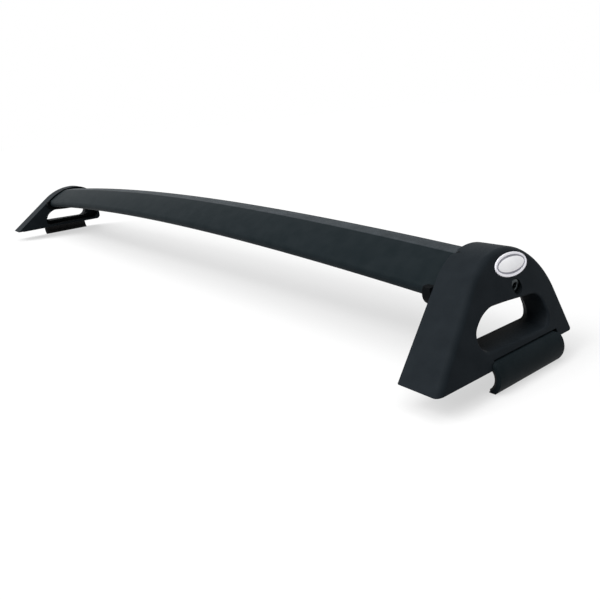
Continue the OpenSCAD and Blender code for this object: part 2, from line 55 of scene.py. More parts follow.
# what counts as one point, how near counts as on a plane, and how far a cutter reaches past
MERGE = 0.002 * MM
NEAR = 0.01 * MM
FAR = 60 * MM
UP = Vector((0, 0, 1))
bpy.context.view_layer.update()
SIDES = ("right", "left")

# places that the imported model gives, in metres
FOOT_LOW, FOOT_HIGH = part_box("foot_casting_right")
PAD_LOW, PAD_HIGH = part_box("foot_pad_right")
BAR_LOW, BAR_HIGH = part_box("crossbar")
JAW_LOW, JAW_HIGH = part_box("clamp_jaw_right")
SOLE_Z = FOOT_LOW.z
HALF_SPAN = FOOT_HIGH.x

# the arch: its middle line's height, its rise over the span, and its ends
BAR_Y = (BAR_LOW.y + BAR_HIGH.y) / 2
BAR_UP = 66 * MM
BAR_MID_Z = SOLE_Z + BAR_UP
ARCH_RISE = 17.8 * MM
BEND_R = (HALF_SPAN ** 2 + ARCH_RISE ** 2) / (2 * ARCH_RISE)
BEND_Z = BAR_MID_Z - BEND_R
BAR_END_ANGLE = math.asin((HALF_SPAN - 38 * MM) / BEND_R)
SOCKET_X = HALF_SPAN - 45 * MM
SOCKET_ANGLE = math.asin(SOCKET_X / BEND_R)
SOCKET_UP = BAR_UP - BEND_R * (1 - math.cos(SOCKET_ANGLE))

# the bar's section, from its middle line
NOSE = Vector((-33.5, -8.5)) * MM
NOSE_R = 5.5 * MM
CREASE = Vector((-8.5, 12.2)) * MM
FLANK_R = 110 * MM
LAND_CROWN = 0.44 * MM
BELLY_DOWN = 15.5 * MM
WALL = 2.2 * MM
WEB_Y = 17 * MM
WEB_T = 2 * MM
CREASE_EDGE = 0.35 * MM
FLANK_STEPS, NOSE_STEPS, BELLY_STEPS = 14, 12, 22

# the slot and its strip
STRIP_CAP = 0.9 * MM
MOUTH = 5 * MM
CHANNEL = 9 * MM
CHANNEL_H = 5 * MM
LIP_T = 2 * MM
BARB = 1.5 * MM
BARB_T = 1 * MM

# the foot: the lean of its faces, its outline, its edges and the sole's recess
LEAN_OUT = math.radians(22.8)
LEAN_IN = math.radians(19.8)
FOOT_T = 34.3 * MM
FOOT_L = 153 * MM
FOOT_H = 68 * MM
CROWN_Y = 30.5 * MM
CROWN_FRONT_R = 70 * MM
CROWN_REAR_R = 42.5 * MM
HEEL_R = 6 * MM
TOE_DOWN = 15 * MM
TOE_R = 10 * MM
SOLE_EDGE = 0.8 * MM
FOOT_STEPS = (8, 8, 36, 48)
PAD_GAP = 0.2 * MM
PAD_RIM = 3 * MM

# the window in the foot, from the foot's middle and its sole
WINDOW_FRONT = -22.5 * MM
WINDOW_REAR = 53.5 * MM
FLOOR_UP = 10.5 * MM
CEILING_UP = 30.5 * MM
THROAT_DEPTH = 17 * MM
WINDOW_DEPTH = 22 * MM
THROAT_LOW_SHARE = 0.4
REAR_LOW_R = 9 * MM
REAR_TOP_R = 10 * MM
REAR_OPENS = 0.75 * FAR
FLARE_BEND = 1.6
FLARE_SLICES = 7
WINDOW_STEPS = (12, 10, 12, 22)

# its rim at the outboard face: a wide arch, the way from its middle to the front disc, and
# the middles of two rear discs
RIM_R = 37.6 * MM
RIM_MID = Vector((2.6, -1.6)) * MM
RIM_FRONT_WAY = Vector((-0.662, 0.749))
RIM_REAR = ((44 * MM, 19.3 * MM), (43.5 * MM, 23 * MM))

# the hollow behind the window, open inboard
HOLLOW_FLOOR = 6 * MM
HOLLOW_REAR = 71 * MM
HOLLOW_GROW = 0.5 * MM
HOLLOW_FRONT_R = 8.2 * MM
HOLLOW_FRONT_IN = 11.73 * MM
HOLLOW_FALL = 14 * MM
HOLLOW_FILLET = 2 * MM

# the jaw and its cavity, from the foot's outboard bottom edge and its sole
JAW_R = 14.5 * MM
JAW_T = 3.5 * MM
JAW_MID_X = JAW_HIGH.x - JAW_R
JAW_MID_DOWN = 6.8 * MM
JAW_TIP_X = HALF_SPAN - 4 * MM
FLANGE_L = 25 * MM
FLANGE_T = 4.4 * MM
CAVITY_H = 4.6 * MM
NOTCH_GAP = 1 * MM
NOTCH_RELIEF = 1.2 * MM
NOTCH_IN = 7 * MM
JAW_CORNER_R = 4 * MM
JAW_EDGE = 0.35 * MM
SCREW_X = HALF_SPAN - 17 * MM
SCREW_IN = 16 * MM
SCREW_HEAD_R = 5.2 * MM
SCREW_HOLE_R = 2.7 * MM
SCREW_SEAT_H = 2.6 * MM
INSERT_R = 4 * MM
INSERT_H = 4.6 * MM

# the sleeve and the tension bolt, along the socket
BAR_GAP = 0.3 * MM
SLEEVE_T = 1.5 * MM
SLEEVE_GAP = 0.05 * MM
LIP_GROW = 5.5 * MM
LIP_L = 6.5 * MM
LIP_DOWN = 4 * MM
LIP_STEP = 0.9 * MM
RING_FROM = 2 * MM
RING_TO = 22 * MM
BOLT_Y = 9 * MM
BOLT_DOWN = 8 * MM
BOLT_R = 3 * MM
HEAD_R = 5 * MM
HEAD_H = 6 * MM
HEAD_SUNK = 2 * MM
BOLT_L = 50 * MM
SHANK_GAP = 0.4 * MM
HEAD_EDGE = 0.6 * MM
SEAT_EDGE = 0.2 * MM
HEX = 5 * MM
HEX_DEEP = 3 * MM
HEX_LEAD_DEEP = 0.5 * MM
HEX_LEAD_IN = 0.25 * MM
HEX_LEAD_OUT = 0.55 * MM
WASHER_T = 1.2 * MM
COUNTERBORE_R = 5.4 * MM
SEAT_WALL = 4.2 * MM

# the badge on the near foot
BADGE_HALF_L = 18.25 * MM
BADGE_HALF_W = 8.5 * MM
BADGE_Y = 32 * MM
BADGE_UP = 56.5 * MM
BADGE_POCKET = 0.8 * MM
BADGE_GAP = 0.1 * MM
BADGE_T = 1.4 * MM
BADGE_EDGE = 0.45 * MM
BADGE_RIM_W = 1.35 * MM
BADGE_RIM_WALL = 0.15 * MM
GROOVE_DEEP = 0.4 * MM
GROOVE_UP = BADGE_T - BADGE_POCKET - GROOVE_DEEP
GROOVE_IN = 2 * MM
GROOVE_T = 0.1 * MM
FACE_IN = 3.4 * MM
FACE_T = 0.3 * MM

# the stage: the way that each lamp shines and its spread, and the camera
WHITE = (1, 1, 1, 1)
KEY_WAY, KEY_SPREAD = (0.35, 0.75, -0.7), 40
TOP_WAY, TOP_SPREAD = (0.05, 0.25, -1), 60
FLOOR_GLOW = 0.6
CAMERA_AT = Vector((719.091, -332.946, 195.104)) * MM
CAMERA_TURN, CAMERA_TILT, CAMERA_ROLL = (math.radians(a) for a in (53.646, 17.896, -5.506))


def rgba(hex_text):
    """A colour written as sRGB hex, as linear red, green, blue and alpha."""
    out = []
    for i in (1, 3, 5):
        c = int(hex_text[i:i + 2], 16) / 255
        out.append(c / 12.92 if c <= 0.04045 else ((c + 0.055) / 1.055) ** 2.4)
    return (*out, 1.0)


# choosing and opening objects

def clear():
    """Object mode, with nothing selected."""
    if bpy.context.object is not None and bpy.context.object.mode != "OBJECT":
        bpy.ops.object.mode_set(mode="OBJECT")
    bpy.ops.object.select_all(action="DESELECT")


def only(obj):
    """Makes obj the one selected and active object, in object mode."""
    clear()
    obj.select_set(True)
    bpy.context.view_layer.objects.active = obj


def edit(obj):
    """Opens obj in edit mode with nothing selected."""
    only(obj)
    bpy.ops.object.mode_set(mode="EDIT")
    bpy.ops.mesh.select_mode(type="VERT")
    bpy.ops.mesh.select_all(action="DESELECT")


def pick(kind, test, by_ring=False):
    """Selects the open mesh's verts, edges or faces that pass the test, and returns how many do.

    With by_ring, the test gets the set of rings that the element's vertices belong to."""
    mesh = bpy.context.object.data
    bpy.ops.mesh.select_mode(type={"verts": "VERT", "edges": "EDGE", "faces": "FACE"}[kind])
    bpy.ops.mesh.select_all(action="DESELECT")
    bm = bmesh.from_edit_mesh(mesh)
    layer = bm.verts.layers.int["ring"] if by_ring else None
    found = [e for e in getattr(bm, kind) if test({v[layer] for v in e.verts} if by_ring else e)]
    for e in found:
        e.select_set(True)
    bm.select_flush_mode()
    bmesh.update_edit_mesh(mesh)
    return len(found)


def all_at(measure, level):
    """A test for elements whose vertices all lie at this level, by some measure of a vertex."""
    return lambda e: all(abs(measure(v) - level) < NEAR for v in e.verts)


def height(vertex):
    return vertex.co.z


def name_it(name):
    """Names the active object and its mesh."""
    obj = bpy.context.object
    obj.name = name
    obj.data.name = name
    return obj


def done(obj, smooth=35.0):
    """Closes a piece: normals out, smooth where it turns gently, its place in its mesh."""
    only(obj)
    bpy.ops.object.transform_apply(location=True, rotation=True, scale=True)
    bpy.ops.object.mode_set(mode="EDIT")
    bpy.ops.mesh.select_all(action="SELECT")
    bpy.ops.mesh.remove_doubles(threshold=MERGE)
    bpy.ops.mesh.normals_make_consistent(inside=False)
    bpy.ops.object.mode_set(mode="OBJECT")
    bpy.ops.object.shade_smooth_by_angle(angle=math.radians(smooth))
    clear()
    return obj


def use(obj, kind, **settings):
    """Adds a modifier and applies it."""
    only(obj)
    modifier = obj.modifiers.new(kind.lower(), kind)
    for name, value in settings.items():
        setattr(modifier, name, value)
    bpy.ops.object.modifier_apply(modifier=modifier.name)
    return obj


def boolean(obj, other, operation="DIFFERENCE"):
    """Cuts obj with the other object, or joins or meets them, and removes the other."""
    done(other)
    done(obj)
    use(obj, "BOOLEAN", object=other, operation=operation, solver="EXACT")
    only(other)
    bpy.ops.object.delete()
    return obj


def copy_of(obj, name):
    """A copy of obj with its own mesh."""
    only(obj)
    bpy.ops.object.duplicate(linked=False)
    return name_it(name)


def mirrored(obj, name):
    """A copy of obj for the other side of the rack."""
    made = copy_of(obj, name)
    made.scale.x = -1
    return done(made)


def finish_faces(obj, smooth=35.0):
    """Lets the large flat faces of a cut piece set the shading beside its rounded edges."""
    done(obj, smooth)
    for name in [a.name for a in obj.data.attributes if a.name == "ring"]:
        obj.data.attributes.remove(obj.data.attributes[name])
    return use(obj, "WEIGHTED_NORMAL", keep_sharp=True, weight=80)


# drawing

def single_vertex(name, at):
    """A new object at the origin, open in edit mode, with one vertex at the given place."""
    clear()
    bpy.ops.mesh.primitive_plane_add(size=1)
    obj = name_it(name)
    bpy.ops.object.mode_set(mode="EDIT")
    bpy.ops.mesh.select_mode(type="VERT")
    bpy.ops.mesh.select_all(action="SELECT")
    bpy.ops.mesh.merge(type="CENTER")
    bpy.ops.transform.translate(value=at)
    return obj


class Sheet:
    """A drawing plane: it turns drawn points into places, and knows its normal."""

    def __init__(self, a, b, origin=(0, 0, 0)):
        self.a, self.b, self.origin = Vector(a), Vector(b), Vector(origin)
        self.normal = self.a.cross(self.b)

    def place(self, p):
        return self.origin + self.a * p[0] + self.b * p[1]


SOCKET_OUT = Vector((math.cos(SOCKET_ANGLE), 0, -math.sin(SOCKET_ANGLE)))
SOCKET_ACROSS = Vector((math.sin(SOCKET_ANGLE), 0, math.cos(SOCKET_ANGLE)))
SOCKET_FROM = Vector((SOCKET_X, BAR_Y, SOLE_Z + SOCKET_UP))
ON_FOOT = Sheet((0, 1, 0), (0, 0, 1), (0, 0, SOLE_Z))
ON_SOLE = Sheet((1, 0, 0), (0, 1, 0), (0, 0, SOLE_Z))
ON_BAR = Sheet((0, 1, 0), (0, 0, 1), (0, BAR_Y, BAR_MID_Z))
ON_SOCKET = Sheet((0, 1, 0), SOCKET_ACROSS, SOCKET_FROM)
ALONG_SOCKET = Sheet(SOCKET_OUT, SOCKET_ACROSS, SOCKET_FROM)
ON_JAW = Sheet((1, 0, 0), (0, 0, 1), (JAW_MID_X, 0, SOLE_Z))


def outline(name, sheet, start, strokes):
    """A closed outline, open in edit mode. A stroke is a point, or (centre, angle, steps)."""
    obj = single_vertex(name, sheet.place(start))
    here = Vector(start)
    for stroke in strokes:
        if len(stroke) == 3:
            centre, angle, steps = stroke
            # with no window, a spin turns against its axis
            bpy.ops.mesh.spin(steps=steps, angle=-angle, use_normal_flip=False,
                              center=sheet.place(centre), axis=sheet.normal)
            here = Vector(centre) + Matrix.Rotation(angle, 2) @ (here - Vector(centre))
        else:
            step = sheet.place(stroke) - sheet.place(here)
            bpy.ops.mesh.extrude_vertices_move(TRANSFORM_OT_translate={"value": step})
            here = Vector(stroke)
    bpy.ops.mesh.select_all(action="SELECT")
    bpy.ops.mesh.remove_doubles(threshold=2 * MERGE)
    bpy.ops.mesh.select_all(action="SELECT")
    return obj


def belt(discs, steps):
    """Start point and strokes of a belt round discs (y, z, radius), listed going round."""
    count = len(discs)
    turns = []
    for i, (ay, az, ar) in enumerate(discs):
        by, bz, br = discs[(i + 1) % count]
        way = Vector((by - ay, bz - az))
        share = max(-1.0, min(1.0, (ar - br) / way.length))
        turns.append(math.atan2(way.y, way.x) - math.acos(share))

    def on_disc(i, angle):
        y, z, r = discs[i]
        return Vector((y + r * math.cos(angle), z + r * math.sin(angle)))

    start = on_disc(0, turns[0])
    strokes = []
    for i in range(count):
        j = (i + 1) % count
        strokes.append(on_disc(j, turns[i]))
        swing = (turns[j] - turns[i]) % (2 * math.pi)
        strokes.append(((discs[j][0], discs[j][1]), swing, steps[j]))
    return start, strokes


def prism(name, sheet, start, strokes, low, high):
    """A solid with the outline as its section, from low to high along the sheet's normal."""
    obj = outline(name, sheet, start, strokes)
    along = sheet.normal.normalized()
    bpy.ops.transform.translate(value=along * low)
    bpy.ops.mesh.edge_face_add()
    bpy.ops.mesh.extrude_region_move(TRANSFORM_OT_translate={"value": along * (high - low)})
    return done(obj)


def rod(name, start, axis, radius, length, vertices=64, top_radius=None):
    """A cylinder or cone that starts at a point and runs along an axis."""
    clear()
    axis = Vector(axis).normalized()
    bpy.ops.mesh.primitive_cone_add(
        vertices=vertices, radius1=radius, radius2=radius if top_radius is None else top_radius,
        depth=length, location=Vector(start) + axis * length / 2,
        rotation=axis.to_track_quat("Z", "Y").to_euler())
    return done(name_it(name))


def bevel(test, width, segments, by_ring=False):
    """Bevels the open mesh's edges that pass the test."""
    if not pick("edges", test, by_ring):
        raise RuntimeError("no edge to bevel")
    bpy.ops.mesh.bevel(offset=width, offset_type="OFFSET", segments=segments,
                       profile=0.5, affect="EDGES", clamp_overlap=False)


def slice_off(plane_co, plane_no):
    """Cuts the open mesh by a plane, drops what lies behind the plane and closes the cut."""
    bpy.ops.mesh.select_all(action="SELECT")
    bpy.ops.mesh.bisect(plane_co=plane_co, plane_no=plane_no, use_fill=True, clear_inner=True)


def lean_over(lean, x):
    """Makes the selected flat drawing a slice that leans inboard, at x on the sole."""
    on_sole = (0, 0, SOLE_Z)
    bpy.ops.transform.resize(value=(1, 1, 1 / math.cos(lean)), center_override=on_sole)
    # with no window, a rotation turns against its axis
    bpy.ops.transform.rotate(value=lean, orient_axis="Y", center_override=on_sole)
    bpy.ops.transform.translate(value=(x, 0, 0))


def ring(discs, steps, lean, x):
    """A belt round discs, as a closed loop that leans with the foot's faces."""
    obj = outline("ring", ON_FOOT, *belt(discs, steps))
    lean_over(lean, x)
    clear()
    return obj


def skin(name, rings):
    """Joins rings into one closed shell, open in edit mode, each ring bridged to the next."""
    for index, obj in enumerate(rings):
        layer = obj.data.attributes.new("ring", "INT", "POINT")
        layer.data.foreach_set("value", [index] * len(obj.data.vertices))
    clear()
    for obj in rings:
        obj.select_set(True)
    bpy.context.view_layer.objects.active = rings[0]
    bpy.ops.object.join()
    obj = name_it(name)
    edit(obj)
    for index in range(len(rings) - 1):
        pick("edges", lambda on: on == {index} or on == {index + 1}, by_ring=True)
        bpy.ops.mesh.bridge_edge_loops()
    for index in (0, len(rings) - 1):
        pick("edges", lambda on: on == {index}, by_ring=True)
        bpy.ops.mesh.edge_face_add()
    return obj


# the bar

def meet(a, ra, b, rb):
    """The point at distance ra from a and rb from b, on the right of the way from a to b."""
    way = b - a
    d = way.length
    x = (ra * ra - rb * rb + d * d) / (2 * d)
    y = math.sqrt(ra * ra - x * x)
    return a + x * way / d + y * Vector((way.y, -way.x)) / d


FLANK = meet(NOSE, FLANK_R - NOSE_R, CREASE, FLANK_R)
BELLY_GAP = BELLY_DOWN + NOSE.y
BELLY_R = (NOSE.x ** 2 + BELLY_GAP ** 2 - NOSE_R ** 2) / (2 * (BELLY_GAP - NOSE_R))
BELLY = Vector((0, BELLY_R - BELLY_DOWN))


def heading(a, b):
    """Direction from a to b, as an angle."""
    return math.atan2(b.y - a.y, b.x - a.x)


def bar_strokes(grow):
    """Start and strokes of the bar's outline, grown all round, from front crease to rear crease."""
    mirror = Vector((-1, 1))
    to_nose = heading(FLANK, NOSE)
    top = math.pi - math.asin((CREASE.y + grow - FLANK.y) / (FLANK_R + grow))
    start = FLANK + (FLANK_R + grow) * Vector((math.cos(top), math.sin(top)))
    from_belly = heading(BELLY, NOSE) % (2 * math.pi)
    nose_turn = (from_belly - to_nose) % (2 * math.pi)
    strokes = [
        (FLANK, to_nose - top, FLANK_STEPS),
        (NOSE, nose_turn, NOSE_STEPS),
        (BELLY, 3 * math.pi - 2 * from_belly, BELLY_STEPS),
        (NOSE * mirror, nose_turn, NOSE_STEPS),
        (FLANK * mirror, to_nose - top, FLANK_STEPS),
    ]
    return start, strokes


def across(co):
    """Where a point lies in the bar's section: rearwards from its middle line, and outwards."""
    return Vector((co.y - BAR_Y, math.hypot(co.x, co.z - BEND_Z) - BEND_R))


def swept(name, start, strokes, half_angle=BAR_END_ANGLE, steps=60):
    """A solid with the outline as its section, swept along the arch from end to end."""
    centre = (0, BAR_Y, BEND_Z)
    obj = outline(name, ON_BAR, start, strokes)
    bpy.ops.transform.rotate(value=half_angle, orient_axis="Y", center_override=centre)
    bpy.ops.mesh.edge_face_add()
    bpy.ops.mesh.spin(steps=steps, angle=-2 * half_angle, center=centre, axis=(0, 1, 0))
    return done(obj)


def rectangle(low, high):
    """Start and strokes of a rectangle between two corners."""
    return low, [(high[0], low[1]), high, (low[0], high[1]), low]


def make_bar():
    """The hollow extrusion, with its chambers, its webs and the slot along its top."""
    land = CREASE.y - STRIP_CAP
    channel_top = land - LIP_T
    channel_floor = channel_top - CHANNEL_H
    start, strokes = bar_strokes(0)
    slot = [(-CREASE.x, land), (MOUTH, land), (MOUTH, channel_top), (CHANNEL, channel_top),
            (CHANNEL, channel_floor)]
    strokes += slot + [(-y, z) for y, z in reversed(slot)] + [start]
    bar = swept("arched_bar", start, strokes)
    edit(bar)

    def on_rim(vertex):
        y, z = across(vertex.co)
        return abs(abs(y) + CREASE.x) < 5 * NEAR and abs(z - CREASE.y) < 5 * NEAR

    bevel(lambda e: all(on_rim(v) for v in e.verts), CREASE_EDGE, 3)
    past_end = BAR_END_ANGLE * 1.01
    past_all = BAR_END_ANGLE * 1.02
    start, strokes = bar_strokes(-WALL)
    chambers = swept("chambers", start, strokes + [start], past_end)
    reach = 30 * MM
    slot_low = channel_floor - WEB_T
    slot_half = CHANNEL + WEB_T
    webs = [((-slot_half, slot_low), (slot_half, reach))]
    for side in (-1, 1):
        low = side * WEB_Y - WEB_T / 2
        webs.append(((low, -reach), (low + WEB_T, reach)))
    for low, high in webs:
        boolean(chambers, swept("web", *rectangle(low, high), past_all))
    boolean(bar, chambers)
    return bar


def make_strip(ribs):
    """The strip: a crowned cap with ribs along it, on a stem with two barbs."""
    cap_low = CREASE.y - STRIP_CAP
    stem_low = cap_low - LIP_T
    edge = -CREASE.x - 0.15 * MM
    border = 0.5 * MM
    groove = 0.3 * MM
    rise = 0.32 * MM
    pitch = 2 * (edge - border) / ribs

    def crown(y):
        return CREASE.y + LAND_CROWN * (1 - (y / CREASE.x) ** 2) - rise

    def top(y):
        return Vector((y, crown(y)))

    start = (-edge, cap_low)
    strokes = [
        (-MOUTH, cap_low), (-MOUTH, stem_low), (-MOUTH - BARB, stem_low - BARB_T / 2),
        (-MOUTH, stem_low - BARB_T), (MOUTH, stem_low - BARB_T),
        (MOUTH + BARB, stem_low - BARB_T / 2), (MOUTH, stem_low), (MOUTH, cap_low),
        (edge, cap_low), tuple(top(edge)),
    ]
    for i in range(ribs):
        # each rib is an arc over its chord, with a flat groove to the next
        right = top(edge - border - i * pitch - groove / 2)
        left = top(edge - border - (i + 1) * pitch + groove / 2)
        chord = left - right
        radius = (chord.length ** 2 / 4 + rise ** 2) / (2 * rise)
        outwards = Vector((chord.y, -chord.x)).normalized()
        centre = (left + right) / 2 - outwards * (radius - rise)
        strokes += [tuple(right), (tuple(centre), 2 * math.asin(chord.length / 2 / radius), 6)]
    strokes += [tuple(top(-edge)), start]
    return swept("ribbed_strip", start, strokes)


# the foot

def under_line(p, c, r, side):
    """Centre of a toe disc that touches, from below, the line from point p to the circle c, r."""
    to_c = math.atan2(c.y - p.y, side * (c.x - p.x))
    a = to_c + math.asin(r / (c - p).length)
    s = (TOE_DOWN - TOE_R * math.cos(a)) / math.sin(a)
    return p.x + side * (TOE_R * math.sin(a) - s * math.cos(a)), -TOE_DOWN


def foot_discs():
    """The discs that the foot's outline runs round: two below the sole and two at the crown."""
    front = Vector((CROWN_Y, FOOT_H - CROWN_FRONT_R))
    rear = Vector((CROWN_Y, FOOT_H - CROWN_REAR_R))
    toe_front = under_line(Vector((-FOOT_L / 2, 0)), front, CROWN_FRONT_R, 1)
    toe_rear = under_line(Vector((FOOT_L / 2, 0)), rear, CROWN_REAR_R, -1)
    return [(*toe_front, TOE_R), (*toe_rear, TOE_R),
            (*rear, CROWN_REAR_R), (*front, CROWN_FRONT_R)]


def heel_cutter():
    """What the rounding of the foot's rear lower corner takes away."""
    corner = Vector((FOOT_L / 2, 0))
    crown = Vector((CROWN_Y, FOOT_H - CROWN_REAR_R))
    to_crown = crown - corner
    rise = math.atan2(to_crown.y, -to_crown.x) + math.asin(CROWN_REAR_R / to_crown.length)
    reach = HEEL_R / math.tan(rise / 2)
    low = (corner.x - reach, 0)
    up = math.pi - rise
    high = (corner.x - reach * math.cos(rise), reach * math.sin(rise))
    far = 10 * MM
    return prism("heel", ON_FOOT, low, [
        ((low[0], HEEL_R), up, 10), (high[0] + far, high[1]), (high[0] + far, -far),
        (low[0], -far), low,
    ], 0, 2 * HALF_SPAN)


def window_discs():
    """The discs that the window's outline runs round, at its throat and at the outboard face."""
    big_r = CEILING_UP - FLOOR_UP
    share = THROAT_LOW_SHARE
    low_r = share * big_r
    low_y = WINDOW_FRONT + low_r
    shift = big_r * (1 - math.sqrt((1 - share) ** 2 - share ** 2))
    throat = [
        (low_y, FLOOR_UP + low_r, low_r),
        (WINDOW_REAR - REAR_LOW_R, FLOOR_UP + REAR_LOW_R, REAR_LOW_R),
        (WINDOW_REAR - REAR_TOP_R, CEILING_UP - REAR_TOP_R, REAR_TOP_R),
        (low_y - shift + big_r, FLOOR_UP, big_r),
    ]
    front = RIM_MID + RIM_FRONT_WAY * (RIM_R - REAR_LOW_R)
    rim = [(*front, REAR_LOW_R), *((*at, REAR_TOP_R) for at in RIM_REAR), (*RIM_MID, RIM_R)]
    return throat, rim


def window_cutter(lip):
    """The window's space: a rounded lip, a flare that narrows to the throat, and the throat."""
    throat, rim = window_discs()

    def slice_at(depth, share, grow):
        discs = []
        for wide, narrow in zip(rim, throat):
            y, z, radius = (a * (1 - share) + b * share for a, b in zip(wide, narrow))
            discs.append((y, z, radius + grow))
        return ring(discs, WINDOW_STEPS, LEAN_OUT, HALF_SPAN - depth)

    # the first slice lies outside the face
    rings = [slice_at(-2 * MM, 0, lip + 5 * MM)]
    for degrees in (5, 20, 35, 50, 65, 80):
        a = math.radians(degrees)
        rings.append(slice_at(lip * (1 - math.cos(a)), 0, lip * (1 - math.sin(a))))
    for i in range(1, FLARE_SLICES + 1):
        t = i / FLARE_SLICES
        rings.append(slice_at(lip + (THROAT_DEPTH - lip) * t, 1 - (1 - t) ** FLARE_BEND, 0))
    # past the throat, the rear wall turns away
    opened = [(y + (REAR_OPENS if y > 0 else 0), z, radius) for y, z, radius in throat]
    rings.append(ring(opened, WINDOW_STEPS, LEAN_OUT, HALF_SPAN - THROAT_DEPTH - FAR))
    return done(skin("window", rings))


def hollow_cutter():
    """The space behind the window, open inboard, from the depth where the window's wall ends."""
    big_y, big_z, big_r = window_discs()[0][3]
    top_r = REAR_TOP_R - HOLLOW_GROW
    low = [
        (big_y - HOLLOW_FRONT_IN, HOLLOW_FLOOR + HOLLOW_FRONT_R, HOLLOW_FRONT_R),
        (HOLLOW_REAR - REAR_LOW_R, HOLLOW_FLOOR + REAR_LOW_R, REAR_LOW_R),
    ]
    high = [
        (HOLLOW_REAR - REAR_TOP_R, CEILING_UP + HOLLOW_GROW - top_r, top_r),
        (big_y, big_z, big_r + HOLLOW_GROW),
    ]

    def slice_at(depth, grow, fall=0.0):
        fallen = [(y, z - fall, radius) for y, z, radius in low]
        discs = [(y, z, radius + grow) for y, z, radius in fallen + high]
        return ring(discs, WINDOW_STEPS, LEAN_OUT, HALF_SPAN - depth)

    rings = []
    for degrees in (90, 75, 50, 25, 0):
        a = math.radians(degrees)
        rings.append(slice_at(WINDOW_DEPTH + HOLLOW_FILLET * (1 - math.sin(a)),
                              -HOLLOW_FILLET * (1 - math.cos(a))))
    # the floor falls inboard
    rings.append(slice_at(WINDOW_DEPTH + FAR, HOLLOW_GROW, HOLLOW_FALL))
    return done(skin("hollow", rings))


def on_socket(x, lean, up):
    """Where a leaning face, at x on the sole, crosses the line at height up across the bar."""
    reach = x - SOCKET_X - up * math.sin(SOCKET_ANGLE)
    fall = math.tan(lean) * (SOCKET_UP + up * math.cos(SOCKET_ANGLE))
    return (reach - fall) / (math.cos(SOCKET_ANGLE) - math.tan(lean) * math.sin(SOCKET_ANGLE))


HEAD_S = on_socket(HALF_SPAN - HEAD_SUNK, LEAN_OUT, -BOLT_DOWN)
SEAT_S = HEAD_S - HEAD_H
SOCKET_END_S = SEAT_S - WASHER_T - SEAT_WALL
FACE_S = on_socket(HALF_SPAN - FOOT_T, LEAN_IN, 0)
LIP_S = on_socket(HALF_SPAN - FOOT_T, LEAN_IN, -LIP_DOWN) - LIP_L


def at_bolt(s):
    """A point on the tension bolt's axis, at s along the socket."""
    return SOCKET_FROM + SOCKET_OUT * s + Vector((0, BOLT_Y, 0)) - SOCKET_ACROSS * BOLT_DOWN


def along_socket(vertex):
    """How far along the socket a vertex lies."""
    return (vertex.co - SOCKET_FROM).dot(SOCKET_OUT)


def socket_prism(name, grow, low, high):
    """The bar's outline with its strip, grown all round, as a solid along the socket."""
    start, strokes = bar_strokes(grow)
    top = (0, CREASE.y + grow + LAND_CROWN)
    return prism(name, ON_SOCKET, start, strokes + [top, start], low, high)


def screw_places():
    """Where the jaw's two screws stand along the foot."""
    return JAW_LOW.y + SCREW_IN, JAW_HIGH.y - SCREW_IN


def make_foot(edge, edge_in, lip):
    """The casting of one foot, without the badge's pocket."""
    discs = foot_discs()
    foot = skin("cast_foot_right", [ring(discs, FOOT_STEPS, LEAN_OUT, HALF_SPAN),
                                    ring(discs, FOOT_STEPS, LEAN_IN, HALF_SPAN - FOOT_T)])
    bevel(lambda on: on == {0}, edge, 8, by_ring=True)
    bevel(lambda on: on == {1}, edge_in, 3, by_ring=True)
    slice_off((0, 0, SOLE_Z), UP)
    bevel(all_at(height, SOLE_Z), SOLE_EDGE, 3)
    for cutter in (heel_cutter(), window_cutter(lip), hollow_cutter()):
        boolean(foot, cutter)

    # the cavity has a round front corner, and the notch over the jaw's curve is a little higher
    front = JAW_LOW.y - NOTCH_GAP
    rear = JAW_HIGH.y + NOTCH_GAP
    below = -5 * MM
    past = HALF_SPAN + 20 * MM
    cavity_x = HALF_SPAN - FLANGE_L - NOTCH_GAP
    inner = front + JAW_CORNER_R
    shoulder = CAVITY_H - JAW_CORNER_R
    boolean(foot, prism("cavity", ON_FOOT, (front, below), [
        (rear, below), (rear, CAVITY_H), (inner, CAVITY_H), ((inner, shoulder), math.pi / 2, 8),
        (front, below)], cavity_x, past))
    boolean(foot, prism("notch", ON_FOOT, *rectangle(
        (inner, 0), (rear - 0.1 * MM, CAVITY_H + NOTCH_RELIEF)), HALF_SPAN - NOTCH_IN, past))

    pad_in, pad_out = PAD_LOW.x - PAD_GAP, PAD_HIGH.x + PAD_GAP
    pad_front, pad_rear = PAD_LOW.y - PAD_GAP, PAD_HIGH.y + PAD_GAP
    web = cavity_x - PAD_RIM / 2
    boolean(foot, prism("pad_recess", ON_SOLE, (pad_in, pad_front), [
        (pad_out, pad_front), (pad_out, front - PAD_RIM), (web, front - PAD_RIM),
        (web, rear + PAD_RIM), (pad_out, rear + PAD_RIM), (pad_out, pad_rear),
        (pad_in, pad_rear), (pad_in, pad_front),
    ], below, PAD_HIGH.z - SOLE_Z))

    boolean(foot, socket_prism("socket", BAR_GAP + SLEEVE_T, -FAR, SOCKET_END_S))
    boolean(foot, rod("shank_hole", at_bolt(0), SOCKET_OUT, BOLT_R + SHANK_GAP, FAR, 32))
    washer = at_bolt(SEAT_S - WASHER_T)
    boolean(foot, rod("counterbore", washer, SOCKET_OUT, COUNTERBORE_R, FAR, 72))
    for y in screw_places():
        start = (SCREW_X, y, SOLE_Z)
        boolean(foot, rod("insert_bore", start, UP, INSERT_R, CAVITY_H + INSERT_H, 32))
    return foot


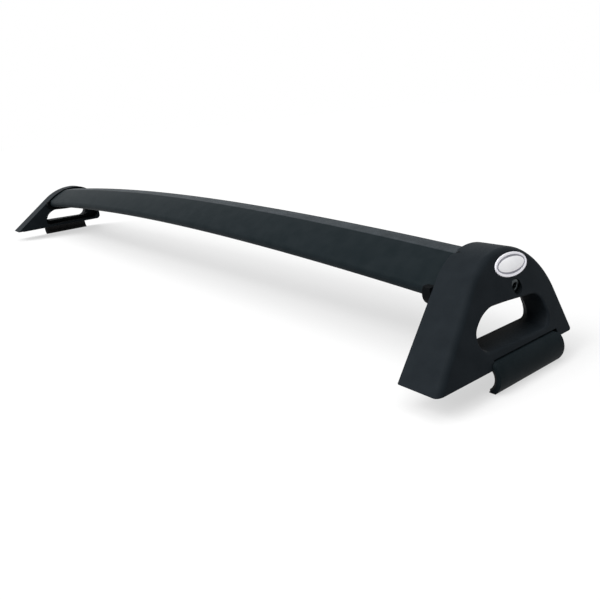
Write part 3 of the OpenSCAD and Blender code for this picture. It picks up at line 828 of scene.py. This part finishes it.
def make_jaw():
    """The hooked jaw: a flange under the foot that turns down into a curved wall."""
    middle = (0, -JAW_MID_DOWN)
    inner_r = JAW_R - JAW_T
    under = CAVITY_H - FLANGE_T
    tip_x = JAW_TIP_X - JAW_MID_X
    bottom = JAW_LOW.z - SOLE_Z
    flange_x = HALF_SPAN - FLANGE_L - JAW_MID_X

    def angle_at(r, z):
        return math.asin((z - middle[1]) / r)

    def on_circle(r, a):
        return r * math.cos(a), middle[1] + r * math.sin(a)

    inner_top = angle_at(inner_r, under)
    inner_tip = -math.acos(tip_x / inner_r)
    outer_low = angle_at(JAW_R, bottom)
    outer_top = angle_at(JAW_R, CAVITY_H)
    start = (flange_x, under)
    strokes = [
        on_circle(inner_r, inner_top),
        (middle, inner_tip - inner_top, 20),
        (tip_x, bottom),
        on_circle(JAW_R, outer_low),
        (middle, outer_top - outer_low, 24),
        (flange_x, CAVITY_H), start,
    ]
    # the drawing's normal points to the front
    jaw = prism("hooked_jaw_right", ON_JAW, start, strokes, -JAW_HIGH.y, -JAW_LOW.y)
    front, rear = JAW_LOW.y, JAW_HIGH.y
    edit(jaw)
    bevel(lambda e: abs(e.verts[0].co.y - e.verts[1].co.y) < NEAR, JAW_EDGE, 2)
    shoulder = CAVITY_H - JAW_CORNER_R
    far = 30 * MM
    boolean(jaw, prism("shoulders", ON_FOOT, (front - far, -far), [
        (rear + far, -far), (rear + far, shoulder), (rear, shoulder),
        ((rear - JAW_CORNER_R, shoulder), math.pi / 2, 8),
        (front + JAW_CORNER_R, CAVITY_H), ((front + JAW_CORNER_R, shoulder), math.pi / 2, 8),
        (front - far, shoulder), (front - far, -far),
    ], HALF_SPAN - 2 * far, HALF_SPAN + 2 * far), "INTERSECT")
    for y in screw_places():
        seat = Vector((SCREW_X, y, SOLE_Z + under))
        boolean(jaw, rod("screw_hole", seat - UP * far, UP, SCREW_HOLE_R, 2 * far, 32))
        boolean(jaw, rod("screw_seat", seat - UP * 2 * NEAR, UP, SCREW_HEAD_R, SCREW_SEAT_H, 32,
                         SCREW_HOLE_R))
    return jaw


def make_sleeve():
    """The sleeve: a ring round the bar in the socket, and a lip under the bar outside it."""
    sleeve = socket_prism("lipped_sleeve_right", LIP_GROW, LIP_S, FAR / 2)
    edit(sleeve)
    bevel(all_at(along_socket, LIP_S), LIP_STEP, 4)
    face = SOCKET_FROM + SOCKET_OUT * (FACE_S - 2 * SLEEVE_GAP)
    slice_off(face, (-math.cos(LEAN_IN), 0, -math.sin(LEAN_IN)))
    boolean(sleeve, socket_prism("ring", BAR_GAP + SLEEVE_T - SLEEVE_GAP, LIP_S + RING_FROM,
                                 LIP_S + RING_TO), "UNION")
    boolean(sleeve, socket_prism("bore", BAR_GAP, -FAR, FAR))
    # above the lip, the ring is flush with the foot's leaning face
    tilt = LEAN_IN + SOCKET_ANGLE
    corner = Vector((FACE_S - SLEEVE_GAP + math.tan(tilt) * LIP_DOWN, -LIP_DOWN))
    up_face = corner + Vector((-math.tan(tilt), 1)) * FAR
    boolean(sleeve, prism("above_lip", ALONG_SOCKET, corner, [
        up_face, (-2 * FAR, FAR), (-2 * FAR, corner.y), corner], -FAR, FAR))
    return sleeve


def make_bolt():
    """The tension bolt: a socket head with a chamfer and a hex hole, on a shank."""
    bolt = rod("socket_bolt_right", at_bolt(SEAT_S), SOCKET_OUT, HEAD_R, HEAD_H, 64)
    edit(bolt)
    bevel(all_at(along_socket, HEAD_S), HEAD_EDGE, 3)
    bevel(all_at(along_socket, SEAT_S), SEAT_EDGE, 2)
    shank = rod("shank", at_bolt(SEAT_S - BOLT_L), SOCKET_OUT, BOLT_R, BOLT_L + 0.5 * MM, 48)
    edit(shank)
    bevel(all_at(along_socket, SEAT_S - BOLT_L), HEAD_EDGE, 1)
    boolean(bolt, shank, "UNION")
    hexagon = HEX / 2 / math.cos(math.radians(30))
    boolean(bolt, rod("hex", at_bolt(HEAD_S - HEX_DEEP), SOCKET_OUT, hexagon, 10 * MM, 6))
    boolean(bolt, rod("lead_in", at_bolt(HEAD_S - HEX_LEAD_DEEP), SOCKET_OUT, hexagon - HEX_LEAD_IN,
                      2 * HEX_LEAD_DEEP, 48, hexagon + HEX_LEAD_OUT))
    return bolt


FACE_OUT = Vector((math.cos(LEAN_OUT), 0, math.sin(LEAN_OUT)))
FACE_RISE = Vector((-math.sin(LEAN_OUT), 0, math.cos(LEAN_OUT)))
BADGE_MID = Vector((HALF_SPAN - math.tan(LEAN_OUT) * BADGE_UP, BADGE_Y, SOLE_Z + BADGE_UP))


def oval(name, grow, low, high):
    """An oval plate, flat at the origin, from low to high."""
    clear()
    bpy.ops.mesh.primitive_cylinder_add(vertices=128, radius=1, depth=high - low,
                                        location=(0, 0, (low + high) / 2),
                                        scale=(BADGE_HALF_L + grow, BADGE_HALF_W + grow, 1))
    return done(name_it(name))


def lay_on_face(obj):
    """Moves a plate, modelled flat at the origin, to the badge's place on the foot."""
    clear()
    turn = Matrix((Vector((0, 1, 0)), FACE_RISE, FACE_OUT)).transposed().to_4x4()
    obj.matrix_world = Matrix.Translation(BADGE_MID) @ turn
    return done(obj)


def pick_top():
    """Selects the flat top of an open plate."""
    pick("faces", lambda f: f.normal.z > 0.99 and len(f.verts) > 8)


def make_badge_rim():
    """The badge's plate with its raised rim."""
    top = BADGE_T - BADGE_POCKET
    plate = oval("badge_rim", 0, -BADGE_POCKET, top)
    edit(plate)
    bevel(all_at(height, top), BADGE_EDGE, 4)
    pick_top()
    bpy.ops.mesh.inset(thickness=BADGE_RIM_W)
    bpy.ops.mesh.inset(thickness=BADGE_RIM_WALL, depth=-GROOVE_DEEP)
    return lay_on_face(plate)


def make_badge_groove():
    """The grey floor of the groove between the badge's rim and its face: painted shade of the
    groove.
    """
    return lay_on_face(oval("badge_groove", -GROOVE_IN, GROOVE_UP, GROOVE_UP + GROOVE_T))


def make_badge_face(dome):
    """The badge's bare face: a domed oval inside the rim."""
    low = GROOVE_UP + GROOVE_T
    face = oval("badge_face", -FACE_IN, low, low + FACE_T)
    edit(face)
    pick_top()
    share = 1.0
    for next_share in (0.97, 0.88, 0.76, 0.62, 0.46, 0.28, 0.08):
        lift = dome * (share ** 2 - next_share ** 2)
        bpy.ops.mesh.extrude_region_move(TRANSFORM_OT_translate={"value": (0, 0, lift)})
        scale = next_share / share
        bpy.ops.transform.resize(value=(scale, scale, 1), center_override=(0, 0, 0))
        share = next_share
    return lay_on_face(face)


# materials

# a colour mix's two inputs and its result, the mottle's width, and how far the painted shade in
# recesses reaches
MIX_A, MIX_B, MIX_RESULT = 6, 7, 2
MOTTLE = 14 * MM
PAINTED_SHADE_REACH = 45 * MM


def add(tree, kind, settings=None, links=None):
    """Adds one node, with its settings and its links."""
    node = tree.nodes.new(kind)
    for name, value in (settings or {}).items():
        if isinstance(name, str) and hasattr(node, name):
            setattr(node, name, value)
        else:
            node.inputs[name].default_value = value
    for name, source in (links or {}).items():
        tree.links.new(source, node.inputs[name])
    return node


def bare_tree(owner):
    """The emptied node tree of a material or a world."""
    owner.use_nodes = True
    owner.node_tree.nodes.clear()
    return owner.node_tree


def surface(name, shader, links):
    """A material whose one shader has these settings; links makes what varies over it."""
    material = bpy.data.materials.new(name)
    tree = bare_tree(material)
    where = add(tree, "ShaderNodeTexCoord").outputs["Object"]
    principled = add(tree, "ShaderNodeBsdfPrincipled", shader, links(tree, where))
    add(tree, "ShaderNodeOutputMaterial", links={"Surface": principled.outputs["BSDF"]})
    return material


def grained(dark, light, grain, depth, rough, painted_shade=None):
    """What varies on a grained surface: colour between two tones, roughness, and bump.

    The grain's width and depth are in metres. With a painted-shade tone, places that the piece's
    own shape shelters are painted darker: painted shade."""
    def links(tree, where):
        fine = add(tree, "ShaderNodeTexNoise",
                   {"Scale": 1 / grain, "Detail": 3.0, "Roughness": 0.6}, {"Vector": where})
        wide = add(tree, "ShaderNodeTexNoise",
                   {"Scale": 1 / MOTTLE, "Detail": 2.0}, {"Vector": where})
        both = add(tree, "ShaderNodeMath", {"operation": "MULTIPLY_ADD", 1: 0.5},
                   {0: fine.outputs["Fac"], 2: wide.outputs["Fac"]})
        tone = add(tree, "ShaderNodeMapRange", {"From Min": 0.55, "From Max": 0.95},
                   {"Value": both.outputs["Value"]})
        paint = add(tree, "ShaderNodeMix", {"data_type": "RGBA", MIX_A: dark, MIX_B: light},
                    {0: tone.outputs["Result"]})
        # painted shade: ambient occlusion darkens the paint where the piece's own shape hides it
        # from the light
        if painted_shade is not None:
            shade_occlusion = add(tree, "ShaderNodeAmbientOcclusion",
                          {"samples": 12, "only_local": True, "Distance": PAINTED_SHADE_REACH})
            share = add(tree, "ShaderNodeMapRange", {"From Min": 0.3, "From Max": 0.85},
                        {"Value": shade_occlusion.outputs["AO"]})
            paint = add(tree, "ShaderNodeMix", {"data_type": "RGBA", MIX_A: painted_shade},
                        {0: share.outputs["Result"], MIX_B: paint.outputs[MIX_RESULT]})
        gloss = add(tree, "ShaderNodeMapRange",
                    {"From Min": 0.3, "From Max": 0.7, "To Min": rough[0], "To Max": rough[1]},
                    {"Value": fine.outputs["Fac"]})
        bump = add(tree, "ShaderNodeBump", {"Strength": 0.6, "Distance": depth},
                   {"Height": fine.outputs["Fac"]})
        return {"Base Color": paint.outputs[MIX_RESULT], "Roughness": gloss.outputs["Result"],
                "Normal": bump.outputs["Normal"]}
    return links


def make_materials(colours):
    """Every finish on the rack, by name."""
    made = {}

    def finish(key, name, paint, shader, grain, depth, rough, painted_shade=None):
        """Adds a finish that varies between the colour called paint and its light twin."""
        tones = (getattr(colours, paint), getattr(colours, paint + "_light"))
        links = grained(*tones, grain * MM, depth * MM, rough, painted_shade)
        made[key] = surface(name, shader, links)

    def coated(level):
        return {"IOR": 1.5, "Specular IOR Level": level}

    metal = {"Metallic": 1.0}
    # satin black powder coat on extruded aluminium: a fine orange peel, drawn a little coarse
    finish("bar_coat", "satin_powder_coat", "coat", coated(0.02), 0.9, 0.05, (0.42, 0.55))
    # the same coat over cast aluminium: the casting's skin makes its grain coarser and duller, and
    # its hollows get painted shade
    finish("foot_coat", "powder_coat_on_casting", "cast", coated(0.035), 1.2, 0.08, (0.46, 0.62),
           colours.cast_painted_shade)
    # extruded rubber: grey and satin, unevenly faded by the weather
    finish("strip_rubber", "ribbed_rubber", "strip", {"IOR": 1.52, "Specular IOR Level": 0.04},
           0.7, 0.03, (0.4, 0.55))
    # moulded rubber: matte and nearly black
    finish("rubber", "moulded_rubber", "rubber", {"IOR": 1.52, "Specular IOR Level": 0.3},
           0.6, 0.05, (0.7, 0.85))
    # moulded nylon: black and dull, with a spark-eroded grain drawn coarser than its 0.1 mm; its
    # black is darkened further as painted shade, for the shadow under the foot's front
    finish("sleeve", "moulded_nylon", "sleeve", {"IOR": 1.53, "Specular IOR Level": 0.03},
           0.5, 0.04, (0.5, 0.66))
    # blackened steel: dark, with a dull metal shine; like the next three, its grain is drawn coarse
    finish("black_steel", "blackened_steel", "steel", metal, 0.4, 0.01, (0.32, 0.45))
    # bright zinc plate on steel: pale, shiny and a little cloudy
    finish("zinc", "zinc_plate", "zinc", metal, 1.5, 0.01, (0.28, 0.4))
    # mill-finish aluminium: pale and satin, with a faint mottle
    finish("mill_aluminium", "mill_aluminium", "mill", metal, 1.0, 0.01, (0.3, 0.42))
    # turned brass: yellow and shiny
    finish("brass", "turned_brass", "brass", metal, 0.5, 0.01, (0.25, 0.35))
    # white lacquer under a clear coat: glossy, with a waviness too shallow to see as grain
    finish("badge_white", "white_lacquer", "badge",
           {"IOR": 1.5, "Coat Weight": 0.6, "Coat Roughness": 0.05}, 3, 0.005, (0.16, 0.24))
    # the badge's rim: silvered plastic, pale and satin
    finish("badge_rim", "silvered_rim", "rim",
           {"IOR": 1.5, "Coat Weight": 0.4, "Coat Roughness": 0.1}, 2, 0.005, (0.25, 0.35))
    # the grey in the badge's groove: painted shade, the fine dark ring round the face
    finish("badge_groove_shade", "grey_lacquer", "groove", {"IOR": 1.5}, 2, 0.005, (0.25, 0.35))
    return made


MATERIALS = {}


def coat(obj, name):
    """Gives an object one of the rack's finishes."""
    obj.data.materials.clear()
    obj.data.materials.append(MATERIALS[name])


def place(piece, finish, body, slot, *nodes):
    """A piece gets its finish, rides on its body and stands for its nodes; its slot is not used."""
    coat(piece, finish)
    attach(piece, body)
    if nodes:
        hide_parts(*nodes)


def dress_pair(right, left_name, finish, body, slot, node, cutter=None):
    """Finishes a right piece and its mirrored twin, and puts each in its node's stead.

    A cutter takes its share from the right piece alone."""
    left = mirrored(right, left_name)
    if cutter is not None:
        boolean(right, cutter)
    for side, piece in zip(SIDES, (right, left)):
        finish_faces(piece)
        place(piece, finish, f"{body}_{side}", slot, f"{node}_{side}")


# what a user would change

def size(label, text, millimetres):
    """A length that a user may change."""
    return FloatProperty(name=label, description=text, default=millimetres * MM,
                         subtype="DISTANCE", unit="LENGTH")


def strength(label, text, default):
    """A light's strength that a user may change."""
    return FloatProperty(name=label, description=text, default=default, min=0)


class RackSizes(bpy.types.PropertyGroup):
    ribs: IntProperty(name="Ribs", description="Ribs along the strip", default=7, min=3, max=12)
    edge: size("Outboard edge", "Rounding round the feet's outboard faces", 4)
    edge_in: size("Inboard edge", "Rounding round the feet's inboard faces", 1.5)
    lip: size("Window lip", "Rounding of the window's outboard rim", 1.6)
    dome: size("Badge dome", "Rise of the badge's bare face", 0.6)
    camera_lens: FloatProperty(name="Lens", description="Focal length of the camera, in mm",
                               default=36.648, subtype="DISTANCE_CAMERA")
    key_strength: strength("Key light", "Strength of the key light", 2.5)
    top_strength: strength("Top light", "Strength of the light from above", 2.3)
    sky_strength: strength("Sky", "Strength of the soft light from all round", 0.24)


def tone(label, hex_text):
    """A colour that a user may change."""
    return FloatVectorProperty(name=label, description="Colour of: " + label.lower(), size=4,
                               subtype="COLOR", default=rgba(hex_text), min=0, max=1)


class RackColours(bpy.types.PropertyGroup):
    coat: tone("Bar coat", "#131A1D")
    coat_light: tone("Bar coat, light", "#191F22")
    cast: tone("Foot coat", "#14191D")
    cast_light: tone("Foot coat, light", "#191E22")
    # painted shade: the foot coat's tone where its own hollows lie in shade
    cast_painted_shade: tone("Foot coat, in recesses", "#040607")
    strip: tone("Strip", "#282D30")
    strip_light: tone("Strip, light", "#34393D")
    rubber: tone("Sole rubber", "#0E0E0F")
    rubber_light: tone("Sole rubber, light", "#161617")
    # painted shade: the sleeve's near-black stands partly for the shadow under the foot's front
    sleeve: tone("Sleeve", "#030506")
    sleeve_light: tone("Sleeve, light", "#06080A")
    steel: tone("Bolt steel", "#34393B")
    steel_light: tone("Bolt steel, light", "#4A4F51")
    zinc: tone("Zinc", "#A9ABAD")
    zinc_light: tone("Zinc, light", "#C2C4C6")
    mill: tone("Aluminium", "#B4B6B8")
    mill_light: tone("Aluminium, light", "#CDCFD0")
    brass: tone("Brass", "#B0883C")
    brass_light: tone("Brass, light", "#CDA654")
    badge: tone("Badge face", "#F4F4F8")
    badge_light: tone("Badge face, light", "#FBFBFD")
    rim: tone("Badge rim", "#F0EFF8")
    rim_light: tone("Badge rim, light", "#FAF9FE")
    # painted shade: the grey of the groove stands for the shade inside it
    groove: tone("Badge groove", "#7C7C86")
    groove_light: tone("Badge groove, light", "#94949E")
    floor: tone("Floor", "#D2D2D2")
    floor_seen: tone("Floor, as the camera sees it", "#959595")


# one operator for each piece or group of like pieces

class RACK_OT_finishes(bpy.types.Operator):
    """Makes the rack's finishes and gives them to the pieces that keep their modelled form"""
    bl_idname = "rack.finishes"
    bl_label = "Finishes"

    def execute(self, context):
        MATERIALS.update(make_materials(context.scene.rack_colours))
        kept = {
            "foot_pad": "rubber", "jaw_liner": "rubber",
            "bar_plug": "mill_aluminium", "bolt_washer": "zinc",
            "jaw_screw_front": "black_steel", "jaw_screw_rear": "black_steel",
            "thread_insert_front": "brass", "thread_insert_rear": "brass",
        }
        for side in SIDES:
            for name, finish in kept.items():
                coat(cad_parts[f"{name}_{side}"], finish)
        return {"FINISHED"}


class RACK_OT_bar(bpy.types.Operator):
    """Models the arched bar as a hollow extrusion with its slot"""
    bl_idname = "rack.bar"
    bl_label = "Crossbar"

    def execute(self, context):
        place(finish_faces(make_bar()), "bar_coat", "bar", "powder_coat", "crossbar")
        return {"FINISHED"}


class RACK_OT_strip(bpy.types.Operator):
    """Models the ribbed strip along the bar's top"""
    bl_idname = "rack.strip"
    bl_label = "Slot strip"

    def execute(self, context):
        strip = make_strip(context.scene.rack_sizes.ribs)
        place(strip, "strip_rubber", "bar", "strip_rubber", "slot_strip")
        return {"FINISHED"}


class RACK_OT_feet(bpy.types.Operator):
    """Models the two cast feet; the badge's pocket is cut into the right one alone"""
    bl_idname = "rack.feet"
    bl_label = "Feet"

    def execute(self, context):
        sizes = context.scene.rack_sizes
        right = make_foot(sizes.edge, sizes.edge_in, sizes.lip)
        pocket = lay_on_face(oval("pocket", BADGE_GAP, -BADGE_POCKET, 5 * MM))
        dress_pair(right, "cast_foot_left", "foot_coat", "foot", "foot_coat", "foot_casting",
                   pocket)
        return {"FINISHED"}


class RACK_OT_jaws(bpy.types.Operator):
    """Models the two hooked jaws under the feet"""
    bl_idname = "rack.jaws"
    bl_label = "Jaws"

    def execute(self, context):
        dress_pair(make_jaw(), "hooked_jaw_left", "bar_coat", "foot", "powder_coat", "clamp_jaw")
        return {"FINISHED"}


class RACK_OT_sleeves(bpy.types.Operator):
    """Models the sleeves round the bar's ends, with the lip under the bar"""
    bl_idname = "rack.sleeves"
    bl_label = "Sleeves"

    def execute(self, context):
        dress_pair(make_sleeve(), "lipped_sleeve_left", "sleeve", "foot", "sleeve_plastic",
                   "bar_sleeve")
        return {"FINISHED"}


class RACK_OT_bolts(bpy.types.Operator):
    """Models the two tension bolts with their hex sockets"""
    bl_idname = "rack.bolts"
    bl_label = "Tension bolts"

    def execute(self, context):
        dress_pair(make_bolt(), "socket_bolt_left", "black_steel", "bolt", "black_steel",
                   "tension_bolt")
        return {"FINISHED"}


class RACK_OT_badge(bpy.types.Operator):
    """Models the bare badge on the right foot: its rim, its grey groove and its domed face"""
    bl_idname = "rack.badge"
    bl_label = "Badge"

    def execute(self, context):
        dome = context.scene.rack_sizes.dome
        for piece, finish, nodes in ((make_badge_rim(), "badge_rim", ["badge"]),
                                     (make_badge_groove(), "badge_groove_shade", []),
                                     (make_badge_face(dome), "badge_white", [])):
            place(finish_faces(piece, 50), finish, "foot_right", "badge_plastic", *nodes)
        return {"FINISHED"}


def lamp(name, way, power, spread):
    """A wide soft lamp, far away, that lights the whole floor alike."""
    clear()
    bpy.ops.object.light_add(type="SUN")
    obj = name_it(name)
    obj.data.energy = power
    obj.data.angle = math.radians(spread)
    obj.rotation_euler = Vector(way).to_track_quat("-Z", "Y").to_euler()


class RACK_OT_stage(bpy.types.Operator):
    """Sets up the pale floor, the soft studio light and the camera"""
    bl_idname = "rack.stage"
    bl_label = "Stage"

    def execute(self, context):
        scene = context.scene
        self.floor(scene)
        self.sky(scene)
        lamp("key_light", KEY_WAY, scene.rack_sizes.key_strength, KEY_SPREAD)
        lamp("top_light", TOP_WAY, scene.rack_sizes.top_strength, TOP_SPREAD)
        self.camera(scene)
        return {"FINISHED"}

    def floor(self, scene):
        """A pale floor that keeps the shadow and meets a white background."""
        clear()
        bpy.ops.mesh.primitive_plane_add(size=12)
        floor = name_it("floor")
        material = bpy.data.materials.new("pale_floor")
        tree = bare_tree(material)
        paint = add(tree, "ShaderNodeBsdfDiffuse", {"Color": scene.rack_colours.floor})
        shade = add(tree, "ShaderNodeBsdfDiffuse", {"Color": scene.rack_colours.floor_seen})
        glow = add(tree, "ShaderNodeEmission", {"Color": WHITE, "Strength": FLOOR_GLOW})
        both = add(tree, "ShaderNodeAddShader", links={0: shade.outputs[0], 1: glow.outputs[0]})
        mix = add(tree, "ShaderNodeMixShader",
                  links={"Fac": self.seen(tree), 1: paint.outputs[0], 2: both.outputs[0]})
        add(tree, "ShaderNodeOutputMaterial", links={"Surface": mix.outputs[0]})
        floor.data.materials.append(material)

    def seen(self, tree):
        """One where the camera sees the surface, directly, in a reflection or through glass."""
        path = add(tree, "ShaderNodeLightPath")
        first = add(tree, "ShaderNodeMath", {"operation": "MAXIMUM"},
                    {0: path.outputs["Is Camera Ray"], 1: path.outputs["Is Glossy Ray"]})
        both = add(tree, "ShaderNodeMath", {"operation": "MAXIMUM"},
                   {0: first.outputs[0], 1: path.outputs["Is Transmission Ray"]})
        return both.outputs[0]

    def sky(self, scene):
        """A white background over soft grey light."""
        world = bpy.data.worlds.new("studio")
        scene.world = world
        tree = bare_tree(world)
        soft = add(tree, "ShaderNodeBackground",
                   {"Color": WHITE, "Strength": scene.rack_sizes.sky_strength})
        white = add(tree, "ShaderNodeBackground", {"Color": WHITE, "Strength": 1.0})
        mix = add(tree, "ShaderNodeMixShader",
                  links={"Fac": self.seen(tree), 1: soft.outputs[0], 2: white.outputs[0]})
        add(tree, "ShaderNodeOutputWorld", links={"Surface": mix.outputs[0]})
        scene.view_settings.view_transform = "Standard"

    def camera(self, scene):
        """The camera stands where the photograph was taken from."""
        flat = math.cos(CAMERA_TILT)
        back = Vector((math.sin(CAMERA_TURN) * flat, -math.cos(CAMERA_TURN) * flat,
                       math.sin(CAMERA_TILT)))
        level = UP.cross(back).normalized()
        steep = back.cross(level)
        cos, sin = math.cos(CAMERA_ROLL), math.sin(CAMERA_ROLL)
        axes = Matrix((level * cos + steep * sin, steep * cos - level * sin, back)).transposed()
        clear()
        bpy.ops.object.camera_add()
        camera = name_it("camera")
        camera.matrix_world = Matrix.Translation(CAMERA_AT) @ axes.to_4x4()
        camera.data.sensor_width = 36
        camera.data.lens = scene.rack_sizes.camera_lens
        camera.data.clip_start = 0.01
        scene.camera = camera


class RACK_PT_sidebar(bpy.types.Panel):
    """Lists the rack's pieces, sizes and colours in the sidebar"""
    bl_idname = "RACK_PT_sidebar"
    bl_label = "Roof rack"
    bl_space_type = "VIEW_3D"
    bl_region_type = "UI"
    bl_category = "Roof rack"

    def draw(self, context):
        for operator in OPERATORS:
            self.layout.operator(operator.bl_idname)
        for group in (context.scene.rack_sizes, context.scene.rack_colours):
            for name in group.__annotations__:
                self.layout.prop(group, name)


OPERATORS = (RACK_OT_finishes, RACK_OT_bar, RACK_OT_strip, RACK_OT_feet, RACK_OT_jaws,
             RACK_OT_sleeves, RACK_OT_bolts, RACK_OT_badge, RACK_OT_stage)
CLASSES = (RackSizes, RackColours, *OPERATORS, RACK_PT_sidebar)


def register():
    for cls in CLASSES:
        bpy.utils.register_class(cls)
    bpy.types.Scene.rack_sizes = PointerProperty(type=RackSizes)
    bpy.types.Scene.rack_colours = PointerProperty(type=RackColours)


def unregister():
    del bpy.types.Scene.rack_colours
    del bpy.types.Scene.rack_sizes
    for cls in reversed(CLASSES):
        bpy.utils.unregister_class(cls)


def main():
    register()
    for operator in OPERATORS:
        group, name = operator.bl_idname.split(".")
        getattr(getattr(bpy.ops, group), name)()
    clear()


if __name__ == "__main__":
    main()
